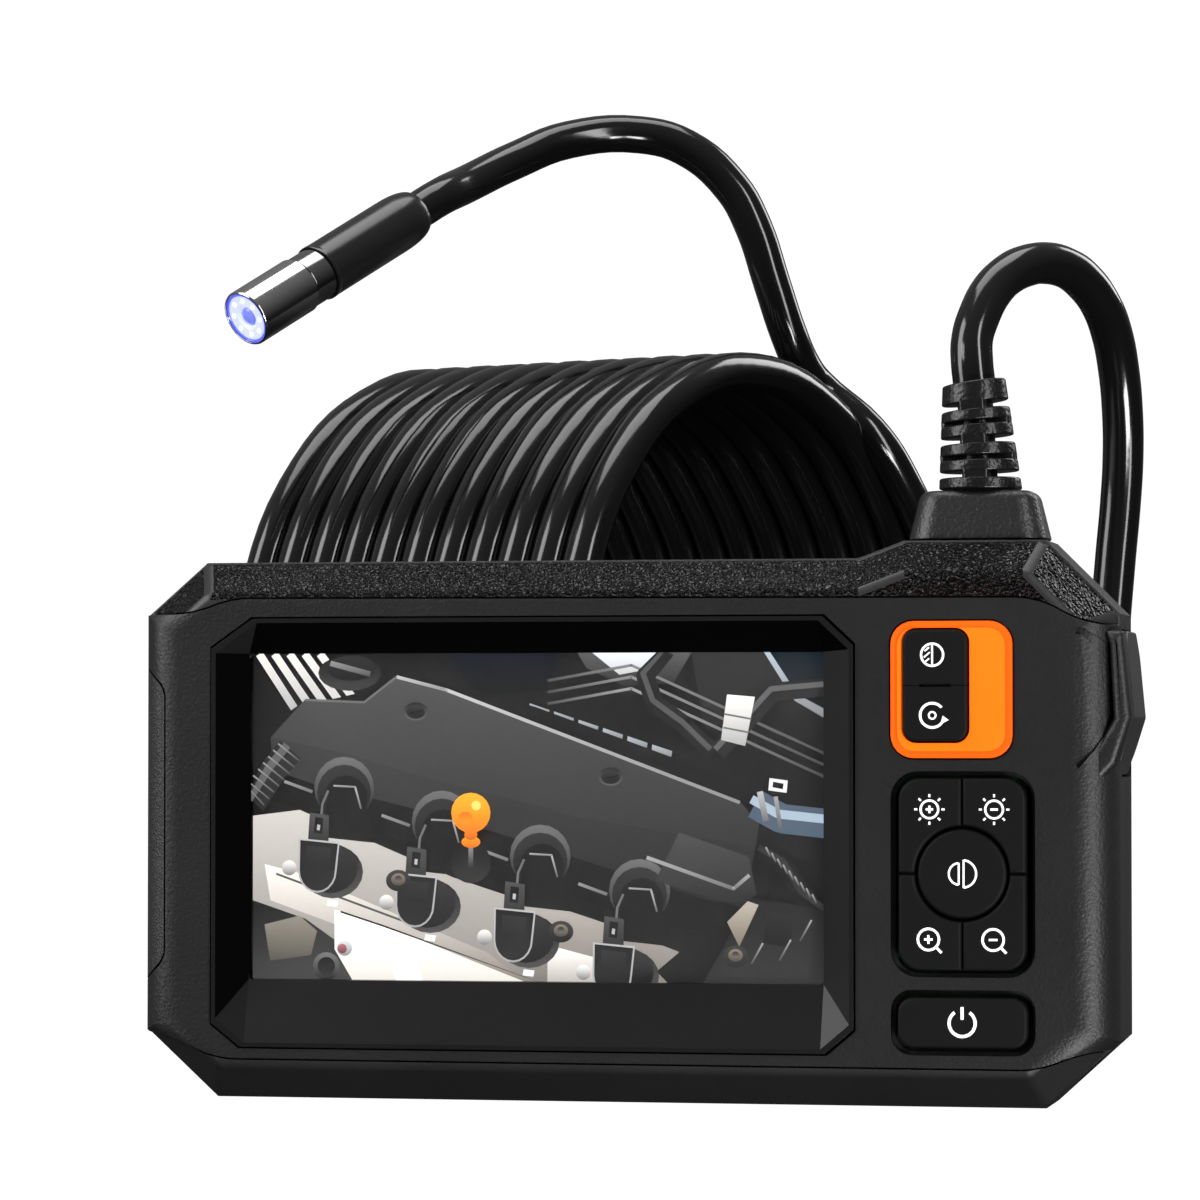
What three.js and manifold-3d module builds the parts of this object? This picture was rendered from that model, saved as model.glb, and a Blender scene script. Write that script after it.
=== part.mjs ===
// Handheld inspection camera: a screen unit with a coiled semi-rigid camera cable.
// Millimetres, +Z up, +X to the right of the screen, +Y away from the viewer.
// The origin is the centre of the flat bottom face that the screen unit stands on.
import * as THREE from "three";
import { mergeVertices } from "three/addons/utils/BufferGeometryUtils.js";
import { ConvexGeometry } from "three/addons/geometries/ConvexGeometry.js";
import Module from "manifold-3d";

const wasm = await Module();
wasm.setup();

// ---------- driving dimensions ----------
const bodyWidth = 162; // side to side, without the port cover
const bodyHeight = 88.7; // without the cable hump
const bodyDepth = 33; // front face to rear face
const humpRise = 2.8; // the hump under the cable outlet
const gap = 0.3; // assembly clearance between neighbours
const caseWall = 2.2; // walls of the two housings
const bumperWall = 2.6; // rubber of the two bumpers
const coreWall = 2; // housings under the bumpers
const edgeRound = 7; // rounding of the housings' vertical edges
const bumperBevel = 5.5; // height of the bumpers' sloping faces
const screenWidth = 95.04; // active area of a 4.3 inch display
const screenHeight = 53.86;
const bezelSlope = { left: 6.5, right: 5.4, top: 5.7, bottom: 10.9 };
const bezelDepth = 3.9; // front edge of the bezel to its window
const panelWidth = 105.5; // display module
const panelHeight = 62;
const panelThickness = 3;
const glassThickness = 1;
const keyTravel = 0.6;
const keyThickness = 2.9;
const boardThickness = 1.6;
const batterySize = { x: 62, y: 8, z: 42 };
const screwShank = 1.1; // radius
const screwHead = 2.5; // radius
const coverProud = 2.4; // how far the port cover stands out of the right flank
const cableDiameter = 7;
const coilRadius = 61.2; // middle of the cable to the coil's axis
const coilPitch = 7.05;
const coilTurns = 11.25;
const floorLift = 0.4; // the cable's lowest turns above the surface
const bootWidth = 22.6; // foot of the cable outlet's boot
const bootDepth = 16;
const bootHeight = 8;
const reliefHeight = 17.6; // strain relief
const reliefLean = 1.1; // its top leans this far to the left
const probeDiameter = 10.2;
const probeLength = 45;
const ledCount = 8;

const arcSteps = 3; // straight steps in a rounded corner
const over = 1; // how far a cutting tool reaches past what it cuts
const beyond = 200; // past the end of every piece

// ---------- places that follow from them ----------
const halfWidth = bodyWidth / 2;
const frontY = -bodyDepth / 2;
const rearY = bodyDepth / 2;
const topZ = bodyHeight;
const humpZ = bodyHeight + humpRise;
const topParting = topZ - 6.3; // where the top bumper meets the front face
const bottomParting = 6.7;
const screenX = -halfWidth + 66.8;
const screenZ = bodyHeight / 2 + 2.2;
const keysX = halfWidth - 24.6; // middle of the key column
const outletX = halfWidth - 23.6; // cable outlet
const wallBack = frontY + caseWall; // inner face of the front wall
const rearInner = rearY - caseWall;

// ---------- colours ----------
function look(color, roughness, metalness = 0) {
  return new THREE.MeshStandardMaterial({ color, roughness, metalness });
}
const blackPlastic = look(0x17181a, 0.55);
const glossBlack = look(0x08080a, 0.2);
const blackRubber = look(0x141415, 0.75);
const orangePlastic = look(0xff5a10, 0.45);
const glass = look(0xc8d4dc, 0.05);
const panelGrey = look(0x39404a, 0.4);
const boardGreen = look(0x1f5a35, 0.5);
const steel = look(0xb8babd, 0.3, 1);
const batteryBlue = look(0x2f5d94, 0.5);
const whitePlastic = look(0xe8e6df, 0.5);
const ledWhite = look(0xe6ecff, 0.2);

// ---------- solids ----------
const camera = new THREE.Group();

function toSolid(geometry) {
  const bare = geometry.index ? geometry.toNonIndexed() : geometry.clone();
  bare.deleteAttribute("normal");
  bare.deleteAttribute("uv");
  const merged = mergeVertices(bare, 1e-4);
  return new wasm.Manifold(
    new wasm.Mesh({
      numProp: 3,
      vertProperties: merged.attributes.position.array,
      triVerts: new Uint32Array(merged.index.array),
    }),
  );
}

function toGeometry(solid) {
  const mesh = solid.getMesh();
  const geometry = new THREE.BufferGeometry();
  geometry.setAttribute("position", new THREE.BufferAttribute(mesh.vertProperties, 3));
  geometry.setIndex(new THREE.BufferAttribute(mesh.triVerts, 1));
  return geometry;
}

const join = (...solids) => solids.reduce((a, b) => a.add(b));
const cut = (solid, ...tools) => tools.reduce((a, b) => a.subtract(b), solid);

function add(name, shape, material, parent = camera) {
  const geometry = shape.isBufferGeometry ? shape : toGeometry(shape);
  geometry.computeVertexNormals();
  const mesh = new THREE.Mesh(geometry, material);
  mesh.name = name;
  parent.add(mesh);
  return mesh;
}

// An outline in X and Z, as a solid from y0 back to y1.
function slab(outline, y0, y1, bevel = {}) {
  const { size = 0, thickness = 0, inset = 0, segments = 1 } = bevel;
  const geometry = new THREE.ExtrudeGeometry(outline, {
    depth: y1 - y0 - 2 * thickness,
    bevelEnabled: size > 0 || inset > 0,
    bevelSize: size,
    bevelThickness: thickness,
    bevelOffset: -size - inset,
    bevelSegments: segments,
    curveSegments: arcSteps,
  });
  geometry.rotateX(Math.PI / 2);
  geometry.translate(0, y1 - thickness, 0);
  return toSolid(geometry);
}

// An outline in X and Y, as a solid from z0 up to z1.
function column(outline, z0, z1) {
  const settings = { depth: z1 - z0, bevelEnabled: false, curveSegments: arcSteps };
  const geometry = new THREE.ExtrudeGeometry(outline, settings);
  geometry.translate(0, 0, z0);
  return toSolid(geometry);
}

function block(x0, x1, y0, y1, z0, z1) {
  const geometry = new THREE.BoxGeometry(x1 - x0, y1 - y0, z1 - z0);
  geometry.translate((x0 + x1) / 2, (y0 + y1) / 2, (z0 + z1) / 2);
  return toSolid(geometry);
}

// A cylinder along Y.
function rod(x, z, radius, y0, y1, sides = 16) {
  const geometry = new THREE.CylinderGeometry(radius, radius, y1 - y0, sides);
  geometry.translate(x, (y0 + y1) / 2, z);
  return toSolid(geometry);
}

const polygon = (points) => new THREE.Shape(points.map(([x, y]) => new THREE.Vector2(x, y)));

function roundedRect(x0, x1, z0, z1, r) {
  const s = new THREE.Shape();
  s.moveTo(x0 + r, z0);
  s.lineTo(x1 - r, z0);
  s.absarc(x1 - r, z0 + r, r, -Math.PI / 2, 0, false);
  s.lineTo(x1, z1 - r);
  s.absarc(x1 - r, z1 - r, r, 0, Math.PI / 2, false);
  s.lineTo(x0 + r, z1);
  s.absarc(x0 + r, z1 - r, r, Math.PI / 2, Math.PI, false);
  s.lineTo(x0, z0 + r);
  s.absarc(x0 + r, z0 + r, r, Math.PI, Math.PI * 1.5, false);
  return s;
}

// A solid turned about the local Z axis, from (radius, z) pairs that start and end on the axis
// or close on themselves.
function turned(profile, sides) {
  const points = profile.map(([r, z]) => new THREE.Vector2(r, z));
  return toSolid(new THREE.LatheGeometry(points, sides).rotateX(Math.PI / 2));
}

function ringProfile(inside, outside, z0, z1) {
  return [[inside, z0], [outside, z0], [outside, z1], [inside, z1], [inside, z0]];
}

// ---------- the outline of the screen unit ----------
const bodyOutline = polygon([
  [-halfWidth + 12, 0],
  [halfWidth - 12, 0],
  [halfWidth, 11],
  [halfWidth, topZ - 9.2],
  [halfWidth - 12, humpZ],
  [halfWidth - 35, humpZ],
  [halfWidth - 42.5, topZ],
  [-halfWidth + 10, topZ],
  [-halfWidth, topZ - 8.7],
  [-halfWidth, 11],
]);

// The band between the bumpers; trim moves both of its edges towards its middle.
function bandRegion(trim) {
  const far = halfWidth + 10;
  return slab(
    polygon([
      [-far, topZ - 8.6 - trim],
      [-far, 11.2 + trim],
      [-halfWidth + 5, 10.4 + trim],
      [-halfWidth + 13.4, bottomParting + trim],
      [halfWidth - 12.2, bottomParting - 0.2 + trim],
      [halfWidth - 6.6, 9 + trim],
      [far, 10.4 + trim],
      [far, topZ - 11.6 - trim],
      [halfWidth - 4.9, topZ - 10.8 - trim],
      [halfWidth - 12.8, topParting - 0.3 - trim],
      [-halfWidth + 15.8, topParting + 0.2 - trim],
      [-halfWidth + 9.8, topZ - 8.6 - trim],
    ]),
    frontY - 5,
    rearY + 5,
  );
}

const bandBlank = slab(bodyOutline, frontY, rearY, { size: edgeRound, thickness: edgeRound, segments: 4 });
const bumperBlank = slab(bodyOutline, frontY, rearY, { size: bumperBevel, thickness: edgeRound });
const shrunk = (by) =>
  slab(bodyOutline, frontY + by, rearY - by, { size: bumperBevel, thickness: edgeRound, inset: by });
const core = shrunk(bumperWall + gap);

// ---------- places of the openings in the front ----------
const windowBox = {
  x0: screenX - screenWidth / 2,
  x1: screenX + screenWidth / 2,
  z0: screenZ - screenHeight / 2,
  z1: screenZ + screenHeight / 2,
};

function bezelOutline(grow) {
  const x0 = windowBox.x0 - bezelSlope.left - grow;
  const x1 = windowBox.x1 + bezelSlope.right + grow;
  const z0 = windowBox.z0 - bezelSlope.bottom - grow;
  const z1 = windowBox.z1 + bezelSlope.top + grow;
  return [
    [x0 + 4.9, z0],
    [x1 - 4.7, z0],
    [x1, z0 + 4],
    [x1, z1 - 4.7],
    [x1 - 5, z1],
    [x0 + 7, z1],
    [x0, z1 - 4.9],
    [x0, z0 + 3.9],
  ];
}

// ---------- screen, front to back ----------
const bezelFront = frontY - 0.4;
const windowY = bezelFront + bezelDepth;
const bezelBack = windowY + 1.3;
const glassFront = bezelBack + gap;
const glassBack = glassFront + glassThickness;
const sealFront = glassBack + gap;
const sealThickness = 0.6;
const panelFront = sealFront + sealThickness + gap;
const panelBack = panelFront + panelThickness;

// ---------- recesses for the keys ----------
const recessDepth = 0.8;
const padCorner = 4.4; // corner radii of the recesses and of what sits in them
const powerCorner = 3.4;
const frameCorner = 3.7;
const rockerCorner = 2;
const frameSeat = 1.1; // depth of the orange frame's seat
const padMiddleZ = screenZ - 8.75; // middle of the round key
const padBox = { x0: keysX - 11.7, x1: keysX + 11.6, z0: padMiddleZ - 16.6, z1: padMiddleZ + 16.4 };
const powerBox = { x0: padBox.x0, x1: padBox.x1, z0: padBox.z0 - 12.5, z1: padBox.z0 - 2 };
const frameBox = { x0: padBox.x0 + 0.1, x1: padBox.x1 - 3.6, z0: padBox.z1 + 2.1, z1: padBox.z1 + 24.1 };
const rockerBox = {
  x0: frameBox.x0 + 2.1,
  x1: frameBox.x0 + 12.5,
  z0: frameBox.z0 + 2.7,
  z1: frameBox.z0 + 20.6,
};
const keyMargin = 0.9; // between the edge of a recess and the keys in it
const keyGap = 0.5; // between neighbouring keys
const padKeys = inner(padBox, keyMargin);
const powerKey = inner(powerBox, keyMargin);
const roundKeyRadius = 7.15;

function inner(box, by) {
  return { x0: box.x0 + by, x1: box.x1 - by, z0: box.z0 + by, z1: box.z1 - by };
}
const rounded = (box, r) => roundedRect(box.x0, box.x1, box.z0, box.z1, r);
const keyOpening = (box, r, y0, y1) => slab(rounded(inner(box, -gap), r), y0, y1);
const boxOpening = (box, y0, y1) => block(box.x0 - gap, box.x1 + gap, y0, y1, box.z0 - gap, box.z1 + gap);

// The keys sit in a pocket behind the front wall with their gasket and board.
const keyFront = frontY - 0.9;
const rockerFront = keyFront - 0.5;
const keyBack = keyFront + keyThickness;
const gasketFront = wallBack + gap;
const gasketBack = gasketFront + 1.4;
const switchHeight = 1.9;
const keyBoardFront = gasketBack + keyTravel + 0.5 + switchHeight;
const pocket = { x0: padBox.x0 - 1.3, x1: padBox.x1 + 1.3, z0: powerBox.z0 - 0.9, z1: frameBox.z1 + 1.1 };

// ---------- screws and bosses ----------
const bossRadius = 3.1;
const postRadius = 2.6;
const rooted = 0.5; // how far a boss or post runs into its wall
const caseScrewHead = 2; // height
const boardScrewHead = 1.6;
const boardScrewLength = 8;
const caseScrews = [
  [-halfWidth + 9.2, screenZ - 24.6],
  [-halfWidth + 9.2, screenZ + 23.4],
  [halfWidth - 8.7, screenZ - 24.6],
  [halfWidth - 8.7, topZ - 14.2],
];
const boardScrews = [
  [-halfWidth + 21, screenZ - 26],
  [-halfWidth + 21, screenZ + 25],
  [outletX - 17, screenZ - 26],
];
const boardFront = panelBack + 3.8;
const boardBack = boardFront + boardThickness;
const shankHole = screwShank + gap;

// ---------- the two housings ----------
function cavity() {
  const deep = shrunk(bumperWall + gap + coreWall);
  const [left, right] = [-halfWidth + 7, halfWidth - 8];
  const limits = block(left, right, frontY, rearY, 0, humpZ);
  const band = block(left, right, wallBack, rearInner, bottomParting + 6.3, topParting - 5.9);
  return join(deep.intersect(limits), band);
}

const grip = { plane: -halfWidth + 4.4, z0: bottomParting + 12.5, z1: topParting - 10.8 };
const port = {
  floor: halfWidth - 3.9,
  z0: topZ - 35.2,
  z1: topZ - 11.9,
  y0: -bodyDepth / 2 + 3.1,
  y1: bodyDepth / 2 - 5.5,
};
const portMiddle = (port.z0 + port.z1) / 2 - 0.2;
const [socketInner, socketOuter] = [halfWidth - 14.5, port.floor - gap];
const usb = { x0: socketInner, x1: socketOuter, y: boardBack + gap + 1.65, height: 9, depth: 3.3 };
const card = { x0: socketInner, x1: socketOuter, y: boardFront - gap - 0.95, height: 12.4, depth: 1.9 };
const cableRadius = cableDiameter / 2;
const spigotRadius = cableRadius + 0.7;
const spigotLength = 11;

// The hole that the boot's spigot passes through.
const outletHole = toSolid(
  new THREE.CylinderGeometry(spigotRadius + gap, spigotRadius + gap, 2 * spigotLength, 24)
    .rotateX(Math.PI / 2)
    .translate(outletX, 0, humpZ),
);

function housingWhole() {
  const shell = join(bandBlank.intersect(bandRegion(gap / 2)), core);
  const bosses = caseScrews.map(([x, z]) => rod(x, z, bossRadius, wallBack - rooted, rearInner + rooted));
  const room = cut(cavity(), ...bosses);
  const gripSeat = block(
    -beyond,
    grip.plane + gap,
    frontY - over,
    rearY + over,
    grip.z0 - gap,
    grip.z1 + gap,
  );
  const portSeat = block(port.floor, beyond, port.y0 - gap, port.y1 + gap, port.z0 - gap, port.z1 + gap);
  const slots = [usb, card].map((s) =>
    block(
      s.x0 - 4,
      halfWidth,
      s.y - s.depth / 2 - gap,
      s.y + s.depth / 2 + gap,
      portMiddle - s.height / 2 - gap,
      portMiddle + s.height / 2 + gap,
    ),
  );
  return cut(shell, room, outletHole, gripSeat, portSeat, ...slots);
}

function frontHousing(whole) {
  const half = whole.intersect(block(-beyond, beyond, frontY - over, -gap / 2, -over, beyond));
  return cut(
    half,
    slab(polygon(bezelOutline(gap)), frontY - over, panelFront),
    block(pocket.x0, pocket.x1, wallBack, keyBoardFront + 2 * boardThickness, pocket.z0, pocket.z1),
    slab(rounded(padBox, padCorner), frontY - over, frontY + recessDepth),
    slab(rounded(powerBox, powerCorner), frontY - over, frontY + recessDepth),
    slab(rounded(inner(frameBox, -gap), frameCorner + gap), frontY - over, frontY + frameSeat),
    keyOpening(padKeys, padCorner - 0.6, frontY - over, wallBack + over),
    keyOpening(powerKey, powerCorner - 0.6, frontY - over, wallBack + over),
    keyOpening(rockerBox, rockerCorner + 0.2, frontY - over, wallBack + over),
    ...caseScrews.map(([x, z]) => rod(x, z, shankHole, frontY + 6, over)),
  );
}

function rearHousing(whole) {
  const half = whole.intersect(block(-beyond, beyond, gap / 2, rearY + over, -over, beyond));
  const posts = boardScrews.map(([x, z]) => rod(x, z, postRadius, boardBack + gap, rearInner + rooted));
  return cut(
    join(half, ...posts),
    ...caseScrews.map(([x, z]) => rod(x, z, shankHole, -over, rearY + over)),
    ...caseScrews.map(([x, z]) => rod(x, z, screwHead + gap, rearY - caseScrewHead - 2 * gap, rearY + over)),
    ...boardScrews.map(([x, z]) => rod(x, z, shankHole - 0.1, boardBack, boardBack + boardScrewLength)),
  );
}

const whole = housingWhole();
add("front_housing", frontHousing(whole), blackPlastic);
add("rear_housing", rearHousing(whole), blackPlastic);

// ---------- bumpers, grip pad and port cover ----------
function bumper(z0, z1) {
  const part = block(-beyond, beyond, frontY - over, rearY + over, z0, z1);
  return cut(bumperBlank, bandRegion(-gap / 2)).intersect(part).subtract(shrunk(bumperWall));
}
add("top_bumper", cut(bumper(bodyHeight / 2, humpZ + over), outletHole), blackRubber);
add("bottom_bumper", bumper(-over, bodyHeight / 2), blackRubber);

const gripRoom = block(-beyond, grip.plane, frontY - over, rearY + over, grip.z0, grip.z1);
add("left_grip_pad", bandBlank.intersect(gripRoom), blackRubber);

function portCover() {
  const outer = halfWidth + coverProud;
  const base = port.floor + gap;
  const side = slab(
    polygon([
      [base, port.z0 + 1],
      [outer - 3.6, port.z0],
      [outer - 1.4, port.z0 + 3],
      [outer, port.z0 + 8],
      [outer, port.z1 - 8],
      [outer - 1.2, port.z1 - 1],
      [outer - 2.2, port.z1],
      [base, port.z1],
    ]),
    port.y0,
    port.y1,
  );
  const plan = column(
    polygon([
      [base, port.y0],
      [base + 2.4, port.y0 + 0.3],
      [outer - 2, port.y0 + 3],
      [outer, port.y0 + 8],
      [outer, port.y1 - 5],
      [outer - 1.6, port.y1],
      [base, port.y1],
    ]),
    0,
    humpZ,
  );
  return side.intersect(plan);
}
add("port_cover", portCover(), blackRubber);

// ---------- sockets behind the port cover ----------
function socket(s, mouthHeight, mouthDepth) {
  const [z0, z1] = [portMiddle - s.height / 2, portMiddle + s.height / 2];
  const shell = block(s.x0, s.x1, s.y - s.depth / 2, s.y + s.depth / 2, z0, z1);
  const mouth = block(
    s.x1 - 6,
    s.x1 + 1,
    s.y - mouthDepth / 2,
    s.y + mouthDepth / 2,
    portMiddle - mouthHeight / 2,
    portMiddle + mouthHeight / 2,
  );
  return cut(shell, mouth);
}
add("usb_socket", socket(usb, usb.height - 0.8, usb.depth - 0.8), steel);
add("card_slot", socket(card, card.height - 1.2, card.depth - 1), steel);

// ---------- screen ----------
function bezel() {
  const frame = slab(polygon(bezelOutline(0)), bezelFront, bezelBack);
  const { x0, x1, z0, z1 } = windowBox;
  const rimWidth = 0.7;
  const rim = bezelOutline(-rimWidth).map(([x, z]) => new THREE.Vector3(x, bezelFront - 0.01, z));
  const floor = [[x0, z0], [x1, z0], [x1, z1], [x0, z1]].map(([x, z]) => new THREE.Vector3(x, windowY, z));
  const opening = block(x0, x1, bezelFront - over, bezelBack + over, z0, z1);
  return cut(frame, toSolid(new ConvexGeometry([...rim, ...floor])), opening);
}

const plate = (grow, y0, y1) =>
  block(windowBox.x0 - grow, windowBox.x1 + grow, y0, y1, windowBox.z0 - grow, windowBox.z1 + grow);

add("screen_bezel", bezel(), glossBlack);
add("display_window", plate(3, glassFront, glassBack), glass);
const seal = cut(plate(3, sealFront, sealFront + sealThickness), plate(1, glassBack, panelFront));
add("display_gasket", seal, blackRubber);
const panel = block(
  screenX - panelWidth / 2,
  screenX + panelWidth / 2,
  panelFront,
  panelBack,
  screenZ - panelHeight / 2,
  screenZ + panelHeight / 2,
);
add("display_panel", panel, panelGrey);

// ---------- keys ----------
const keys = [];
const stemRadius = 1.5;
const switchWidth = 5;

// A key cap with the stem that reaches back to its switch.
function addKey(name, cap, x, z) {
  const stem = rod(x, z, stemRadius, keyBack - rooted, keyBoardFront - switchHeight - keyTravel - 0.2, 8);
  keys.push([x, z]);
  add(name, join(cap, stem), blackRubber);
}

function addPadKeys() {
  const { x0, x1, z0, z1 } = padKeys;
  const half = keyGap / 2;
  const middleX = (x0 + x1) / 2;
  const pad = slab(rounded(padKeys, padCorner - keyMargin), keyFront, keyBack);
  const clearing = rod(middleX, padMiddleZ, roundKeyRadius + keyGap, keyFront - over, keyBack + over, 32);
  const corners = [
    ["light_up_key", x0, middleX - half, padMiddleZ + half, z1],
    ["light_down_key", middleX + half, x1, padMiddleZ + half, z1],
    ["zoom_in_key", x0, middleX - half, z0, padMiddleZ - half],
    ["zoom_out_key", middleX + half, x1, z0, padMiddleZ - half],
  ];
  for (const [name, a, b, c, d] of corners) {
    const cap = cut(pad.intersect(block(a, b, keyFront - over, keyBack + over, c, d)), clearing);
    const x = (a + b) / 2 + (a < middleX - half ? -1 : 1) * 1.4;
    const z = (c + d) / 2 + (c < padMiddleZ ? -2.6 : 2.6);
    addKey(name, cap, x, z);
  }
  addKey("mirror_key", rod(middleX, padMiddleZ, roundKeyRadius, keyFront, keyBack, 32), middleX, padMiddleZ);
}

function addRockerKeys() {
  const { x0, x1, z0, z1 } = rockerBox;
  const middle = (z0 + z1) / 2;
  const whole = slab(rounded(rockerBox, rockerCorner), rockerFront, keyBack);
  const upper = block(x0, x1, rockerFront - over, 0, middle + keyGap / 2, z1);
  const lower = block(x0, x1, rockerFront - over, 0, z0, middle - keyGap / 2);
  addKey("contrast_key", whole.intersect(upper), (x0 + x1) / 2, (middle + z1) / 2);
  addKey("rotate_key", whole.intersect(lower), (x0 + x1) / 2, (middle + z0) / 2);
}

addPadKeys();
addRockerKeys();
addKey(
  "power_key",
  slab(rounded(powerKey, powerCorner - keyMargin), keyFront, keyBack),
  (powerKey.x0 + powerKey.x1) / 2,
  (powerKey.z0 + powerKey.z1) / 2,
);

const keyFrame = cut(
  slab(rounded(frameBox, frameCorner), frontY - 0.7, frontY + frameSeat - gap),
  keyOpening(rockerBox, rockerCorner + 0.2, rockerFront - over, frontY + frameSeat + over),
);
add("key_frame", keyFrame, orangePlastic);

const inPocket = inner(pocket, gap);
const keyGasket = cut(
  block(inPocket.x0, inPocket.x1, gasketFront, gasketBack, inPocket.z0, inPocket.z1),
  ...[padKeys, powerKey, rockerBox].map((box) => boxOpening(box, gasketFront - over, gasketBack + over)),
);
add("key_gasket", keyGasket, blackRubber);

const keyBoard = join(
  block(
    inPocket.x0,
    padBox.x1 - 2,
    keyBoardFront,
    keyBoardFront + boardThickness,
    inPocket.z0 + 2.6,
    inPocket.z1 - 1.8,
  ),
  ...keys.map(([x, z]) => {
    const half = switchWidth / 2;
    const [front, back] = [keyBoardFront - switchHeight, keyBoardFront + rooted];
    return block(x - half, x + half, front, back, z - half, z + half);
  }),
);
add("key_board", keyBoard, boardGreen);

// ---------- main board, battery and what is on them ----------
function mainBoard() {
  const right = halfWidth - 15.5;
  const sheet = join(
    block(-right, right, boardFront, boardBack, screenZ - 32.6, screenZ + 29.9),
    block(right - 1, halfWidth - 8.5, boardFront, boardBack, portMiddle - 9, portMiddle + 6),
  );
  const holes = boardScrews.map(([x, z]) => rod(x, z, shankHole, boardFront - over, boardBack + over));
  return cut(sheet, ...holes);
}
add("main_board", mainBoard(), boardGreen);

const batteryX = -halfWidth + 60;
const battery = block(
  batteryX - batterySize.x / 2,
  batteryX + batterySize.x / 2,
  rearInner - gap - batterySize.y,
  rearInner - gap,
  screenZ - batterySize.z / 2 - 1.6,
  screenZ + batterySize.z / 2 - 1.6,
);
add("battery_pack", battery, batteryBlue);

function connector(x, z, width, depth, height) {
  const y0 = boardBack + gap;
  return block(x - width / 2, x + width / 2, y0, y0 + depth, z - height / 2, z + height / 2);
}
add("battery_connector", connector(batteryX + batterySize.x / 2 + 8, screenZ + 6, 8, 5, 6), whitePlastic);
add("lead_connector", connector(outletX, screenZ + 25, 10, 4, 6), whitePlastic);

// A pan-head screw along Y, with its head at y and its shank towards the given side.
function screw(x, z, y, headHeight, length, side) {
  const span = (a, b) => [Math.min(y + side * a, y + side * b), Math.max(y + side * a, y + side * b)];
  const head = rod(x, z, screwHead, ...span(0, headHeight), 12);
  const shank = rod(x, z, screwShank, ...span(0, length), 8);
  const [long, narrow, deep] = [1.5, 0.35, 0.9]; // the cross in the head
  const cross = [
    block(x - long, x + long, ...span(-over, deep), z - narrow, z + narrow),
    block(x - narrow, x + narrow, ...span(-over, deep), z - long, z + long),
  ];
  return cut(join(head, shank), ...cross);
}
caseScrews.forEach(([x, z], i) => {
  add("case_screw_" + (i + 1), screw(x, z, rearY - gap, caseScrewHead, bodyDepth - 10, -1), steel);
});
boardScrews.forEach(([x, z], i) => {
  const top = boardFront - gap - boardScrewHead;
  add("board_screw_" + (i + 1), screw(x, z, top, boardScrewHead, boardScrewLength, 1), steel);
});

// ---------- cable outlet ----------
const bootZ = humpZ + gap;

function bootBase() {
  const footX = bootWidth / 2;
  const footY = bootDepth / 2;
  const levels = [
    [0, 1],
    [bootHeight - 1.2, 0.85],
    [bootHeight, 0.72],
  ];
  const corner = 4.5;
  const points = [];
  for (const [rise, scale] of levels) {
    for (const [sx, sy] of [[1, 1], [-1, 1], [-1, -1], [1, -1]]) {
      for (const turn of [0, 0.5, 1]) {
        const angle = Math.atan2(sy, sx) + (turn - 0.5) * (Math.PI / 2);
        const x = sx * (footX - corner) + corner * Math.cos(angle);
        const y = sy * (footY - corner) + corner * Math.sin(angle);
        points.push(new THREE.Vector3(outletX + x * scale, y * scale, bootZ + rise));
      }
    }
  }
  const spigot = turned([[0, -spigotLength], [spigotRadius, -spigotLength], [spigotRadius, 1], [0, 1]], 20);
  return join(toSolid(new ConvexGeometry(points)), spigot.translate([outletX, 0, bootZ]));
}
add("boot_base", bootBase(), blackRubber);

const ceilingSlope = 2.4; // the cavity's ceiling falls this far over the clamp's radius
const clampTop = humpZ - bumperWall - coreWall - ceilingSlope - 2 * gap;
const clampHeight = 3.6;
const clamp = turned(ringProfile(spigotRadius + gap, spigotRadius + 3.2, 0, clampHeight), 20);
add("cable_clamp", clamp.translate([outletX, 0, clampTop - clampHeight]), whitePlastic);

const reliefZ = bootZ + bootHeight + gap;

// A tapered sleeve with grooves round it, which leans to the left.
function strainRelief() {
  const base = cableRadius + 3.4;
  const tip = cableRadius + 1.8;
  const collar = 1.8;
  const grooves = 3;
  const grooveDepth = 1.5;
  const pitch = (reliefHeight - 3) / (grooves + 0.4);
  const profile = [[0, 0], [base, 0], [base, collar - 0.2]];
  for (let i = 0; i < grooves; i++) {
    const z = collar + i * pitch;
    const r = base - 0.4 - ((base - tip - 0.4) * i * pitch) / (reliefHeight - 3);
    profile.push([r - grooveDepth, z], [r - grooveDepth, z + 1.6], [r, z + 1.9], [r - 0.2, z + pitch - 0.3]);
  }
  profile.push([tip, reliefHeight - 1], [tip - 0.6, reliefHeight], [0, reliefHeight]);
  const leaning = toGeometry(turned(profile, 16));
  leaning.applyMatrix4(new THREE.Matrix4().makeShear(0, 0, 0, 0, -reliefLean / reliefHeight, 0));
  return leaning.translate(outletX, 0, reliefZ);
}
add("strain_relief", strainRelief(), blackRubber);

// ---------- cable ----------

// A round tube along a smooth curve through hand-placed points, with a step every two diameters or so.
function tube(points) {
  const curve = new THREE.CatmullRomCurve3(points.map((p) => new THREE.Vector3(...p)), false, "centripetal");
  const sides = 8;
  const section = polygon(
    Array.from({ length: sides }, (_, i) => {
      const angle = (i / sides) * 2 * Math.PI;
      return [cableRadius * Math.cos(angle), cableRadius * Math.sin(angle)];
    }),
  );
  const steps = Math.ceil(curve.getLength() / (2.2 * cableDiameter));
  return new THREE.ExtrudeGeometry(section, { steps, extrudePath: curve, bevelEnabled: false });
}

// The coil stands on the floor behind the screen unit with its axis turned towards the viewer's right.
const coilTurn = THREE.MathUtils.degToRad(-23.6);
const coilCentre = new THREE.Vector3(-26, 97.8, coilRadius + cableRadius + floorLift);
const coilLength = coilTurns * coilPitch + cableDiameter;

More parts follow.
